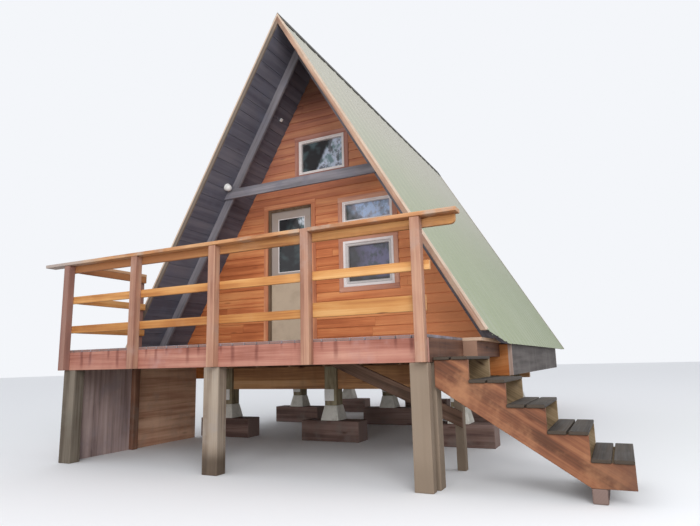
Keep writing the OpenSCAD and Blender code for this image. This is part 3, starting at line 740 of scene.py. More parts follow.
@dataclass(frozen=True)
class RoofMetal(Finish):
    """Painted sheet with long streaks, pale patches near the ridge and a few scratches.

    Its three colours are those of the lower part, of the paler part near the ridge, which is partly
    wear and partly a painted highlight, and of the streaks.
    """

    MARKS: ClassVar[str] = "96968A"
    STREAKS: ClassVar[tuple] = (0.45, 4.0, 0.45)
    SCRATCHES: ClassVar[tuple] = (2.2, 26.0, 2.2)

    def paint(self, graph: Graph) -> None:
        """Fills the material's nodes.

        Formula: the first colour runs into the second one by height, and noise drawn out
        down the slope gives the streaks.

        Args:
            graph: Graph of the material.
        """
        base, upper, streak = self.tints()
        place = graph.place()
        cloud = graph.noise(place, 0.9, 4.0, 0.6)
        # Paler towards the ridge in patches: wear, and a painted highlight.
        level = graph.plus(graph.split(place)[2], cloud, 1.6)
        colour = graph.mix(graph.between(level, 2.6, 6.2), base, upper)
        runs = graph.streaks(place, self.STREAKS, 3.0, 0.6)
        colour = graph.mix(graph.between(runs, 0.48, 0.75, 0.0, 0.25), colour, streak)
        marks = graph.streaks(place, self.SCRATCHES, 5.0, 0.7)
        colour = graph.darken(graph.between(marks, 0.6, 0.74, 0.0, 0.12), colour, self.MARKS)
        graph.shade(colour, graph.between(cloud, 0.2, 0.8, 0.42, 0.62), 0.4)
        graph.bump(graph.noise(place, 7.0, 2.0), 0.002, 0.5)


@dataclass(frozen=True)
class Paint(Finish):
    """Brushed paint or bare metal that has gone dull. Its two colours are its own and dirt.

    Attributes:
        amount: Share of dirt.
        rough: Roughness of the surface.
        metal: 1 for bare metal, 0 for paint.
        grit: Height of the surface's relief in metres.
        scale: Features of the relief in a metre.
        upper: Colour above the level, or none for one colour.
        level: Height at which the upper colour starts.
    """

    amount: float = 0.4
    rough: float = 0.5
    metal: float = 0.0
    grit: float = 0.0006
    scale: float = 90.0
    upper: str = ""
    level: float = 0.0

    def paint(self, graph: Graph) -> None:
        """Fills the material's nodes: two noises give the dirt and the relief.

        Args:
            graph: Graph of the material.
        """
        colour, dirt = self.tints()
        place = graph.place()
        cloud = graph.noise(place, 6.0, 5.0, 0.65)
        if self.upper:
            above = graph.between(graph.split(place)[2], self.level, self.level + 0.03)
            colour = graph.mix(above, colour, srgb(self.upper))
        colour = graph.mix(graph.between(cloud, 0.42, 0.72, 0.0, self.amount), colour, dirt)
        most = min(1.0, self.rough + 0.15)
        graph.shade(colour, graph.between(cloud, 0.2, 0.8, self.rough - 0.1, most))
        graph.shader.inputs["Metallic"].default_value = self.metal
        graph.bump(graph.noise(place, self.scale, 4.0, 0.6), self.grit)


@dataclass(frozen=True)
class Pane(Finish):
    """Window glass: painted shade of a room behind, and a painted reflection where the tone attribute
    says.

    Its three colours are those of the shaded room, of the painted reflection and of its mottle.

    Attributes:
        dark: Strength of the dark spots in the painted reflection.
    """

    MOTTLE: ClassVar[tuple] = (9.0, 1.0, 7.0)
    SPOTS: ClassVar[tuple] = (6.5, 1.0, 4.5)
    PAINTED_LIGHT_HAZE: ClassVar[tuple] = (5.0, 1.0, 6.0)

    dark: float = 0.6

    def paint(self, graph: Graph) -> None:
        """Fills the material's nodes: the mottle is noise, laid only on the painted reflection.

        Args:
            graph: Graph of the material.
        """
        room_shade, reflected, dull = self.tints()
        place = graph.place()
        # Painted reflection where tone is high; painted shade of the room, with a faint painted
        # reflection, elsewhere.
        mottle = graph.streaks(place, self.MOTTLE, 4.0, 0.6)
        painted_reflection = graph.mix(graph.between(mottle, 0.44, 0.60), reflected, dull)
        deep = graph.streaks(place, self.SPOTS, 4.0, 0.7)
        painted_reflection = graph.mix(graph.between(deep, 0.50, 0.60, 0.0, self.dark), painted_reflection, room_shade)
        painted_light_haze = graph.streaks(place, self.PAINTED_LIGHT_HAZE, 2.0, 0.5)
        faint_reflection = graph.mix(graph.between(painted_light_haze, 0.45, 0.7, 0.0, 0.45), room_shade, dull)
        graph.shade(graph.mix(graph.attribute("tone", "Fac"), faint_reflection, painted_reflection), 0.06)
        graph.bump(graph.noise(place, 3.0, 1.0), 0.001, 0.4)


class Finishes:
    """The finishes of this cabin."""

    # Siding: lighter orange towards the right is painted light; greyer and darker towards the top is
    # painted shade.
    SIDING = FadeAndPaintedLightTimber(
        "oiled_cedar_siding", "B6663C CF7A4A E69A62 BC7052", weather=0.12, knots=0.35,
        spread=0.35, rough=0.6, gable=4.62, painted_light_haze=0.34, fade_and_light="F09C68", start=1.3, stop=-0.3,
    )
    SIDING_TRIM = Timber("cedar_trim", "926256 AE786A C69282 987870", weather=0.12, knots=0.5)
    PINK_TRIM = Timber("pinkish_trim", "A8705C C88C74 DCA68C B0867A", weather=0.2, knots=0.5)
    TRIM = Timber("orange_door_trim", "B26C4C D48A64 E8A87C B07C68", weather=0.12, knots=0.5)
    # Door frame: its wood darkened to olive by painted shade in the recess round the door.
    DOOR_FRAME = Timber(
        "olive_door_frame", "604C3C 7C6652 927C64 826A5C", weather=0.2, knots=0.3, rough=0.7,
    )
    INSIDE = Timber("inside_boards", "785436 966C46 AC8056 6E543E", weather=0.1, rough=0.7)
    SOFFIT = Timber(
        "dark_roof_boards", "5A5864 666672 76747E 6A6C7C", weather=0.25, knots=0.25, rough=0.8,
    )
    RAFTER = Timber("grey_rafters", "626064 7C787E 908C92 787680", knots=0.5, rough=0.75)
    BARGE = FadeAndPaintedLightTimber(
        "barge_timber", "96725F B7937E CCAE96 AE9C88", drips=0.15, spread=0.2, rough=0.65,
        fade_and_light="6A635B", start=-0.8, stop=-0.4,
    )
    # Posts: darker towards the left is painted shade.
    POST = FadeAndPaintedLightTimber(
        "pinkish_rail_posts", "8E6452 AC806B C29A81 B09387", weather=0.25, knots=0.7, drips=0.15,
        spread=0.2, rough=0.66, fade_and_light="896761", start=-3.4, stop=-1.0,
    )
    RAIL = Timber(
        "yellow_rails", "B47844 D0965A E2B47A CA9C76", weather=0.15, knots=0.8, rough=0.6,
    )
    LOW_RAIL = replace(RAIL, name="lowest_rails", codes="A66B3A BF864D D0A068 BA8B64")
    TOP_RAIL = FadeAndPaintedLightTimber(
        "orange_top_rails", "9C6A40 BC8854 D4A66E BC9270", weather=0.25, knots=0.8, drips=0.1,
        fade_and_light="9E6844", start=-1.6, stop=0.6,
    )
    CAP = FadeAndPaintedLightTimber(
        "pale_rail_cap", "A06C4A BE885E D4A87C B8A494", knots=0.7, spread=0.2, rough=0.6,
        fade_and_light="B0A8A4", start=-2.9, stop=-2.0,
    )
    DECK = Timber(
        "wet_deck_boards", "686062 8C8282 ACA09E 9E98A8", weather=0.4, spread=0.5, rough=0.45,
        end="805242",
    )
    SUPPORT = FadeAndPaintedLightTimber(
        "weathered_supports", "807062 9C8D7E B0A293 9C928A", knots=0.8, drips=0.12, spread=0.25,
        rough=0.78, foot=0.22, fade_and_light="897969", start=1.4, stop=-0.2,
    )
    # Left supports: a darker copy of the supports, partly damp and partly painted shade.
    LEFT_SUPPORT = replace(
        SUPPORT, name="damp_supports", codes="584E44 70675C 867C70 746E64", foot=0.0,
    )
    DIVIDER = replace(LEFT_SUPPORT, name="brown_support", codes="624436 825C4A 987460 786458")
    # Side rims and eave beams: brown darkened with painted shade on their side faces.
    SIDE_RIM = Timber(
        "brown_side_rims", "54382C 704E3E 8A6652 725C52", weather=0.2, drips=0.2, rough=0.7,
    )
    EAVE_BEAM = replace(SIDE_RIM, name="brown_eave_beams", end="A88672")
    FRAME = Timber(
        "brown_floor_timber", "765842 A07C60 BC9A7C 968272", weather=0.2, knots=0.7, drips=0.1,
        spread=0.4, rough=0.75,
    )
    BRACE = replace(FRAME, name="dark_brace", codes="523E32 745A4C 8C7262 706056")
    BEAM = Timber(
        "orange_floor_beams", "A47450 CC9A6C DEB48A B49474", weather=0.2, knots=0.7, drips=0.1,
        spread=0.35, rough=0.7,
    )
    SILL = Timber("pale_sill", "A0765C C49E80 D8BAA0 B4A496", drips=0.1, rough=0.7)
    SKIRT = Timber(
        "orange_skirt", "8D502B B46C36 C68450 A05C44", weather=0.15, drips=0.1, spread=0.4,
    )
    GREY_SKIRT = Timber(
        "grey_skirt", "484240 5C5654 706A68 726D6A", knots=0.3, spread=0.4, rough=0.75,
    )
    PALE = Timber(
        "pale_corner", "9E8478 B49C91 C6B0A6 AA968C", weather=0.2, knots=0.3, drips=0.1,
        spread=0.2, rough=0.6,
    )
    PIER = Timber("mossy_pier_timber", "685C48 8E826A AAA086 8C8A76", drips=0.1, rough=0.8)
    SLEEPER = Timber("old_sleepers", "5A4540 796159 8E7771 7C706A", spread=0.4, rough=0.82)
    # Left side panels: grey-purple and brown, made lighter to stand in for light under the deck.
    LEFT_SKIRT = Timber(
        "dark_side_panel", "887573 A6918E BCA8A4 988A8C", knots=0.3, drips=0.1, spread=0.25,
        rough=0.78,
    )
    BROWN_SKIRT = Timber(
        "brown_side_panel", "B6866E D6AA8E E6BEA2 BE9C88", knots=0.3, drips=0.1, spread=0.25,
        rough=0.78,
    )
    STRINGER = FadeAndPaintedLightTimber(
        "red_brown_stringers", "583625 7D4E37 9E6C4C AC7A58", weather=0.28, knots=1.0, drips=0.1,
        rough=0.6, fade_and_light="624639", start=3.35, stop=2.85,
    )
    FAR_STRINGER = Timber(
        "olive_stringer", "705E44 927C5E AA9678 948878", knots=0.8, drips=0.2, rough=0.7,
    )
    TREAD = Timber(
        "wet_treads", "282018 3A3027 4E4236 443C36", weather=0.35, knots=0.5, spread=0.5,
        rough=0.6,
    )
    # Roof: paler near the ridge, partly wear and partly a painted highlight.
    ROOF = RoofMetal("sage_roof_paint", "9DA68A BEBCAF B0B49E")
    FLASHING = Paint("pale_rake_metal", "D3BEAA B89E88", amount=0.5, grit=0.0003)
    RIDGE = Paint("dark_ridge_paint", "3E3C36 64625A", amount=0.5, rough=0.6)
    SASH = Paint("grey_white_sash", "CEC8C6 B2AAA8", amount=0.3)
    WHITE = Paint("off_white_paint", "F0E8E6 CEBEB8", amount=0.3, rough=0.45)
    DOOR = Paint("beige_door_paint", "C8B49C AA947E", rough=0.55, upper="AC9E96", level=2.36)
    STEEL = Paint("galvanised_steel", "F0F0EE C8CACA", rough=0.6, grit=0.0004)
    CONCRETE = Paint(
        "cast_concrete", "E2E0D8 B0AEA4", amount=0.7, rough=0.9, grit=0.004, scale=45.0,
    )
    BRASS = Paint("aged_brass", "967C4E 605038", amount=0.5, rough=0.4, metal=0.9)
    LAMP = Paint("white_lamp", "EEEEEC CECECE", amount=0.2, rough=0.3)
    # Panes: painted shade of a dark room and painted reflections, placed by tone.
    PANES = {
        WindowKind.GABLE: Pane("gable_pane", "38383A C4CEE2 748E94", dark=0.8),
        WindowKind.TRANSOM: Pane("transom_pane", "4A4E4A BED4F6 A6A6B6", dark=0.4),
        WindowKind.LOW: Pane("low_pane", "4A4544 787692 5E646C", dark=0.3),
        WindowKind.DOOR: Pane("door_glass_pane", "303032 E0E8F2 5C6E70", dark=0.2),
    }


@dataclass(frozen=True)
class Layout:
    """Planes and edges of the cabin, read from the frame.

    Attributes:
        middle: X of the roof's centre plane.
        deck: Height of the deck.
        wall: Y of the front wall's face.
        rear: Y of the rear wall's outer face.
        half_base: Half width of the roof at the deck's height.
        rise: Height of the ridge above the deck.
        drop: Drop of the roof's foot below the deck.
        roof_front: Y of the roof's front edge.
        roof_back: Y of the roof's rear edge.
        roof_inner: Depth of the roof boards' inner face below the metal's outer one.
    """

    middle: float
    deck: float
    wall: float
    rear: float
    half_base: float
    rise: float
    drop: float
    roof_front: float
    roof_back: float
    roof_inner: float = 0.075

    @classmethod
    def from_frame(cls) -> "Layout":
        """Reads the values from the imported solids.

        Returns:
            The layout.
        """
        low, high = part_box("roof_sheet_right")
        floor_low, floor_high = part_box("cabin_floor")
        rise, drop = high.z - floor_high.z, floor_high.z - low.z
        half_base = (high.x - low.x) * rise / (rise + drop)
        return cls(
            low.x, floor_high.z, floor_low.y, floor_high.y, half_base, rise, drop, low.y, high.y
        )

    @property
    def angle(self) -> float:
        """Slope of the roof in radians."""
        return math.atan2(self.rise, self.half_base)

    @property
    def slope_length(self) -> float:
        """Distance down the slope from the ridge to the foot."""
        return (self.rise + self.drop) / math.sin(self.angle)

    def roof_x(self, height: float, depth: float) -> float:
        """Returns the roof's half width at a height above the deck, a depth below its face."""
        return self.half_base * (1 - height / self.rise) - depth / math.sin(self.angle)

    def outward(self, side: int) -> Array:
        """Returns the unit vector out of one slope, 1 for the right one and -1 for the left."""
        return np.array([side * math.sin(self.angle), 0.0, math.cos(self.angle)])

    def downhill(self, side: int) -> Array:
        """Returns the unit vector down one slope."""
        return np.array([side * math.cos(self.angle), 0.0, -math.sin(self.angle)])

    def on_slope(self, side: int, down: Array, depth: Array, y: Array) -> Array:
        """Places points on a slope of the roof.

        Formula: the ridge point, plus down times the slope's direction, minus depth times
        its outward normal.

        Args:
            side: 1 for the right slope, -1 for the left one.
            down: Distance down the slope from the ridge.
            depth: Depth below the metal's outer plane.
            y: Place along the ridge.

        Returns:
            The points, with the coordinates in the last axis.
        """
        down, depth, y = np.broadcast_arrays(down, depth, y)
        cos, sin = math.cos(self.angle), math.sin(self.angle)
        x = self.middle + side * (down * cos - depth * sin)
        z = self.deck + self.rise - down * sin - depth * cos
        return np.stack([x, y, z], axis=-1)


def settle(
    piece: Piece, finish: Finish, body: str = HOUSE, nodes: tuple[str, ...] = ()
) -> Piece:
    """Dresses a piece, lets it ride on a body and hides the CAD nodes that it stands for.

    Args:
        piece: The piece.
        finish: Its finish.
        body: Body that it rides on.
        nodes: CAD nodes that it stands for.

    Returns:
        The same piece.
    """
    finish.dress(piece)
    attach(piece, body)
    if nodes:
        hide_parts(*nodes)
    LOG.info("%s: %d points", piece.name, len(piece.data.vertices))
    return piece


@dataclass(frozen=True)
class TimberCopy:
    """CAD solids of one node, copied with worn edges, grain and tone.

    Attributes:
        node: CAD node that it stands for.
        finish: Its finish.
        wear: Width of the worn edges.
        body: Body that it rides on.
        rear_limit: Largest y that the copy may reach.
        chosen: Numbers of the solids that are copied, from front to rear, or none for all.
        word: Last word of the piece's name.
    """

    FLAT: ClassVar[float] = 0.01
    SHARP: ClassVar[float] = math.radians(35)

    node: str
    finish: Finish
    wear: float = 0.005
    body: str = HOUSE
    rear_limit: float = math.inf
    chosen: tuple[int, ...] = ()
    word: str = "dressed"

    def build(self) -> Piece:
        """Copies the solids, merges their flat faces and rounds their edges.

        Returns:
            The new piece.
        """
        source = random_for(self.node)
        parts = []
        for number, (points, triangles) in enumerate(node_solids(self.node)):
            if not self.chosen or number in self.chosen:
                points[:, 1] = np.minimum(points[:, 1], self.rear_limit)
                parts.append(timber_solid(points, triangles, source))
        piece = Surface.joined(parts).to_object(f"{self.node}_{self.word}")
        solid = bmesh.new()
        solid.from_mesh(piece.data)
        bmesh.ops.dissolve_limit(
            solid, angle_limit=self.FLAT, verts=solid.verts, edges=solid.edges
        )
        solid.to_mesh(piece.data)
        solid.free()
        bevel = piece.modifiers.new("worn_edges", "BEVEL")
        bevel.width = self.wear
        bevel.segments = 2
        bevel.limit_method = "ANGLE"
        bevel.angle_limit = self.SHARP
        return settle(piece, self.finish, self.body, (self.node,))


@dataclass
class TimberSet:
    """A sub-assembly that is made of copied timber alone.

    Attributes:
        parts: The copies, in order.
    """

    parts: tuple[TimberCopy, ...]

    def build(self) -> None:
        """Builds and dresses every copy."""
        for part in self.parts:
            part.build()


@dataclass
class Roof:
    """Ribbed sheets, roof boards, ridge cap and the timber under them.

    Attributes:
        layout: Planes and edges of the cabin.
        rib_pitch: Largest distance between the ribs.
        rib_height: Height of the ribs.
        rib_foot: Width of a rib at its foot.
        rib_top: Width of a rib at its top.
        pan: Depth of the flat parts of the sheet.
        skin: Thickness of the metal.
        ripple: Height of the sheet's slow ripple.
        board: Thickness of the roof boards.
        board_width: Width of the roof boards.
        board_gap: Gap between two roof boards.
        lath: Thickness of the strapping over the boards.
        lath_width: Width of the strapping.
        straps: Number of straps on a slope.
        top_strap: Distance of the first strap from the ridge.
        corner_cut: Reach up the slope of the piece missing at the front right corner.
        corner_length: Length of that piece along the eave.
        folds: Distances of the two creases there from the front edge.
        fold_depth: Depth of the creases.
        fold_width: Half width of the creases.
        flashing: Depth of the metal edge over the barge boards.
        flange: Width of that edge on the ribs.
        cap_reach: Width of the ridge cap on each slope.
        cap_thick: Thickness of the ridge cap.
        inset: Distance from the rear edge at which the metal ends.
    """

    layout: Layout
    rib_pitch: float = 0.306
    rib_height: float = 0.0070
    rib_foot: float = 0.056
    rib_top: float = 0.022
    pan: float = 0.0095
    skin: float = 0.0012
    ripple: float = 0.0009
    board: float = 0.038
    board_width: float = 0.184
    board_gap: float = 0.003
    lath: float = 0.022
    lath_width: float = 0.09
    straps: int = 9
    top_strap: float = 0.25
    corner_cut: float = 0.145
    corner_length: float = 0.74
    folds: tuple[float, float] = (0.58, 0.89)
    fold_depth: float = 0.012
    fold_width: float = 0.03
    flashing: float = 0.022
    flange: float = 0.05
    cap_reach: float = 0.148
    cap_thick: float = 0.0042
    inset: float = 0.002

    def pitch(self) -> float:
        """Returns the distance between ribs that puts the last one at the rear edge."""
        reach = self.layout.roof_back - self.layout.roof_front - self.rib_foot
        return reach / math.ceil(reach / self.rib_pitch)

    def rib(self, y: Array) -> Array:
        """Returns the height of the sheet's ribs at each y.

        Formula: a trapezoid repeated at the pitch, one at the top's width and zero at the
        foot's width.

        Args:
            y: Places along the ridge.

        Returns:
            The heights.
        """
        phase = (y - self.layout.roof_front) % self.pitch() - self.rib_foot / 2
        slope = (self.rib_foot / 2 - np.abs(phase)) / (self.rib_foot / 2 - self.rib_top / 2)
        return np.clip(slope, 0, 1) * self.rib_height

    def sheet_surface(self, side: int) -> Surface:
        """Makes one ribbed slope as a thin closed shell.

        Formula: point (y, s) lies at distance s down the slope from the ridge, lifted off
        the pan by the rib height and a slow ripple. At the front right corner the reach
        falls off in a straight line, and two creases run up the slope from there.

        Args:
            side: 1 for the right slope, -1 for the left one.

        Returns:
            The surface.
        """
        place = self.layout
        half, top = self.rib_foot / 2, self.rib_top / 2
        ribs = np.arange(place.roof_front + half, place.roof_back, self.pitch())
        y = np.concatenate([
            (ribs[:, None] + np.array([-half, -top, top, half])).ravel(),
            np.linspace(place.roof_front, place.roof_back, 110),
            np.linspace(place.roof_front, place.roof_front + 1.1, 56),
        ])
        y = np.clip(y, place.roof_front + 0.001, place.roof_back - self.inset)
        share = np.concatenate([np.linspace(0, 0.86, 70), np.linspace(0.87, 1, 40)])
        across, down = np.meshgrid(np.unique(np.round(y, 4)), share, indexing="ij")
        from_front = across - place.roof_front
        bent = np.clip(1 - from_front / self.corner_length, 0, 1) * (side > 0)
        slope = down * (place.slope_length - 0.004 - self.corner_cut * bent)
        to_foot = place.slope_length - slope
        ripple = self.ripple * np.sin(across * 5.1 + slope * 1.3) * np.sin(slope * 2.2 + across)
        fold = np.minimum(*(np.abs(from_front - middle) for middle in self.folds))
        crease = np.exp(-(fold / self.fold_width) ** 2) * (side > 0)
        crease = crease * np.clip(1.25 - to_foot / 0.40, 0, 1)
        lift = self.rib(across) + ripple - self.fold_depth * crease
        lift = np.clip(lift, -0.005, self.pan - 0.001)
        below = self.pan - lift
        return Surface(*shell(
            place.on_slope(side, slope, below, across),
            place.on_slope(side, slope, below + self.skin, across),
        ))

    def board_surface(self, side: int) -> Surface:
        """Makes the roof boards of one slope and the strapping over them.

        Formula: board n has its middle n + 1/2 widths down the slope from the ridge; the
        straps lie over the boards, one at the foot and the others evenly up to the ridge.
        Front ends in the missing corner move back to its slanting edge.

        Args:
            side: 1 for the right slope, -1 for the left one.

        Returns:
            The surface of all boards.
        """
        place = self.layout
        low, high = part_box("roof_boards_right")
        foot = place.slope_length - place.roof_inner / math.tan(place.angle) - 0.001
        start = place.roof_inner * math.tan(place.angle)
        count = round((foot - start) / self.board_width)
        width = (foot - start) / count
        over = place.roof_inner - self.board
        source = random_for(f"roof_boards_{side}")
        laid = Surface.joined([
            planks(
                place.on_slope(side, down, depth, low.y), place.on_slope(side, down, depth, high.y),
                np.broadcast_to(place.downhill(side), (len(down), 3)), wide, thick, source, 0.004,
            )
            for down, depth, wide, thick in (
                (
                    start + width * (np.arange(count) + 0.5), place.roof_inner - self.board / 2,
                    width - self.board_gap, self.board,
                ),
                (self.strap_places(), over - self.lath / 2, self.lath_width, self.lath),
            )
        ])
        height = (laid.points[:, 2] - place.deck + place.drop) / math.sin(place.angle)
        reach = self.corner_length * (1 - height / self.corner_cut) * (side > 0)
        y = laid.points[:, 1]
        limit = place.roof_front + np.maximum(reach, 0.0)
        laid.points[:, 1] = np.where(y < limit, limit + 0.2 * (y - low.y), y)
        return laid

    def strap_places(self) -> Array:
        """Returns each strap's distance down the slope, the last one at the foot."""
        foot = self.layout.slope_length - self.layout.roof_inner / math.tan(self.layout.angle)
        return np.linspace(self.top_strap, foot - 0.05, self.straps)

    def flashing_surface(self, side: int, front: bool) -> Surface:
        """Makes the bent metal edge over one barge board, at the front or the rear.

        Formula: an L outline, one flange on the ribs and one over the barge board's face,
        is carried from the ridge to the foot.

        Args:
            side: 1 for the right slope, -1 for the left one.
            front: Whether it is at the front end.

        Returns:
            The surface.
        """
        place = self.layout
        edge = place.roof_front if front else place.roof_back - self.inset
        out = -1.0 if front else 1.0
        outline = np.array([
            [-self.flange, 0.0003], [0.0016, 0.0003], [0.0016, self.flashing],
            [0.0004, self.flashing], [0.0004, 0.0015], [-self.flange, 0.0015],
        ])
        foot = place.slope_length - (self.corner_cut if front and side > 0 else 0.0) - self.skin
        down = np.linspace(0.0, foot - self.flashing / math.tan(place.angle), 12)[:, None]
        start = outline[:, 1] * math.tan(place.angle) * (down < 0.001)
        rings = place.on_slope(side, down + start, outline[:, 1], edge + out * outline[:, 0])
        return Surface(*lofted(rings[None]))

    def ridge_surface(self) -> Surface:
        """Makes the bent ridge cap with turned-down edges.

        Formula: the cap's outline, two slopes with a short lip at each foot and a rounded
        top, is carried straight from the front edge to the rear edge.

        Returns:
            The surface.
        """
        place = self.layout
        down, out = place.downhill(1)[[0, 2]], place.outward(1)[[0, 2]]
        foot = down * self.cap_reach
        lift = out * self.cap_thick
        top = [0.0, self.cap_thick / math.cos(place.angle) * 0.93]
        outer = np.array([foot + lift, down * 0.02 + lift, top])
        mirror = np.array([-1, 1])
        inner = foot + out * 0.001
        outline = np.concatenate([
            outer, outer[-2::-1] * mirror, [inner * mirror, [0.0, 0.001], inner]
        ])
        y = np.linspace(place.roof_front, place.roof_back - 0.001, 9)[:, None]
        x, y = np.broadcast_arrays(outline[:, 0] + place.middle, y)
        z = np.broadcast_to(outline[:, 1] + place.deck + place.rise, x.shape)
        return Surface(*lofted(np.stack([x, y, z], axis=-1)[None]))

    def build(self) -> None:
        """Builds and dresses the roof."""
        for side, word in ((1, "right"), (-1, "left")):
            sheet = self.sheet_surface(side).to_object(f"ribbed_sheet_{word}")
            settle(sheet, Finishes.ROOF, nodes=(f"roof_sheet_{word}",))
            boards = self.board_surface(side).to_object(f"roof_planks_{word}")
            settle(boards, Finishes.SOFFIT, nodes=(f"roof_boards_{word}",))
            edges = Surface.joined([self.flashing_surface(side, front) for front in (True, False)])
            settle(edges.to_object(f"rake_flashing_{word}"), Finishes.FLASHING)
            TimberCopy(f"rafters_{word}", Finishes.RAFTER, 0.004).build()
            limit = self.layout.roof_back - self.inset
            TimberCopy(f"barge_boards_{word}", Finishes.BARGE, 0.004, rear_limit=limit).build()
        cap = self.ridge_surface().to_object("bent_ridge_cap")
        settle(cap, Finishes.RIDGE, nodes=("ridge_cap",))
        TimberCopy("collar_beam", Finishes.RAFTER).build()


@dataclass
class EndWall:
    """Lapped siding on one end wall, around its openings.

    Attributes:
        layout: Planes and edges of the cabin.
        name: Name of the piece.
        face: Y of the wall's outer face.
        outward: -1 for the front wall, 1 for the rear one.
        holes: Lowest and highest x and z of what the siding stops at.
        exposure: Height of board that shows.
        butt: Thickness of a board at its lower edge.
        thin: Thickness where the next board laps over it.
        shortest: Shortest board.
        longest: Longest board.
        gap: Half of the gap between two boards' ends.
        uneven: Range of the boards' thickness and of their lower edges' height.
    """

    layout: Layout
    name: str
    face: float
    outward: int
    holes: list[tuple[float, float, float, float]]
    exposure: float = 0.127
    butt: float = 0.019
    thin: float = 0.006
    shortest: float = 1.5
    longest: float = 2.9
    gap: float = 0.0012
    uneven: tuple[float, float] = (0.0015, 0.003)

    def pieces(self) -> Array:
        """Cuts every course at the openings and at its butt joints.

        Returns:
            Rows of course number, board number, low z, high z, then the left x below and
            above, and the right x below and above.
        """
        source = random_for(self.name)
        place = self.layout
        depth = place.roof_inner + 0.001
        top = place.rise - depth / math.cos(place.angle)
        rows = []
        for course, low in enumerate(np.arange(0.0, top, self.exposure)):
            high = min(low + self.exposure, top)
            ends = np.cumsum(source.uniform(self.shortest, self.longest, 6))
            joints = ends - place.roof_x(low, depth) - source.uniform(0, self.shortest)
            levels = [z for hole in self.holes for z in hole[2:] if low + 0.002 < z < high - 0.002]
            levels = sorted({low, high, *levels})
            for z0, z1 in zip(levels[:-1], levels[1:]):
                below = place.roof_x(z0, depth)
                above = max(place.roof_x(z1, depth), 0.0)
                cuts = [(-below, -above)]
                for left, right, foot, head in sorted(self.holes):
                    if foot < (z0 + z1) / 2 < head:
                        cuts += [(left, left), (right, right)]
                cuts.append((below, above))
                for left, right in zip(cuts[0::2], cuts[1::2]):
                    marks = [(m, m) for m in joints if left[0] + 0.1 < m < right[0] - 0.1]
                    edges = [left, *marks, right]
                    for a, b in zip(edges[:-1], edges[1:]):
                        board = int(np.searchsorted(joints, (a[0] + b[0]) / 2))
                        rows.append((course, board, z0, z1, *a, *b))
        return np.array(rows)

    def surface(self) -> Surface:
        """Makes all the boards at once.

        Formula: a board's back lies on the wall; its front leans from the butt's thickness
        at the course's lower edge to the thin one at its upper edge. The chance of each
        board, five numbers, moves its butt, its lower edge and its grain.

        Returns:
            The surface.
        """
        source = random_for(self.name + "_boards")
        course, board, low, high, left0, left1, right0, right1 = self.pieces().T
        number = (course * 8 + board).astype(int)
        chance = source.uniform(0, 1, (number.max() + 1, 5))[number]
        butt = self.butt + self.uneven[0] * (chance[:, 0] - 0.5)
        foot = course * self.exposure
        dip = self.uneven[1] * (chance[:, 1] - 0.5) * (low == foot)
        left0, left1 = left0 + self.gap, left1 + self.gap
        right0, right1 = right0 - self.gap, right1 - self.gap
        x = np.stack([left0, right0, right1, left1] * 2, axis=1) + self.layout.middle
        z = np.stack([low + dip, low + dip, high, high] * 2, axis=1) + self.layout.deck
        thick_low, thick_high = (
            butt + (self.thin - butt) * np.clip((level - foot) / self.exposure, 0, 1)
            for level in (low, high)
        )
        depth = [thick_low] * 2 + [thick_high] * 2 + [np.zeros(len(low))] * 4
        depth = np.stack(depth, axis=1)
        points = np.stack([x, self.face + self.outward * depth, z], axis=-1)
        corner = np.arange(len(low) * 8).reshape(-1, 8)
        order = [[0, 1, 2, 3], [7, 6, 5, 4], [0, 4, 5, 1], [1, 5, 6, 2], [2, 6, 7, 3], [3, 7, 4, 0]]
        faces = np.concatenate([corner[:, row] for row in order])
        grain = np.stack([x, z, depth], axis=-1) + 40 * chance[:, None, 2:5]
        tone = np.broadcast_to(chance[:, :1], x.shape)
        return Surface(points.reshape(-1, 3), [faces], grain.reshape(-1, 3), tone.reshape(-1))

    def build(self) -> None:
        """Builds and dresses the siding."""
        settle(self.surface().to_object(self.name), Finishes.SIDING)


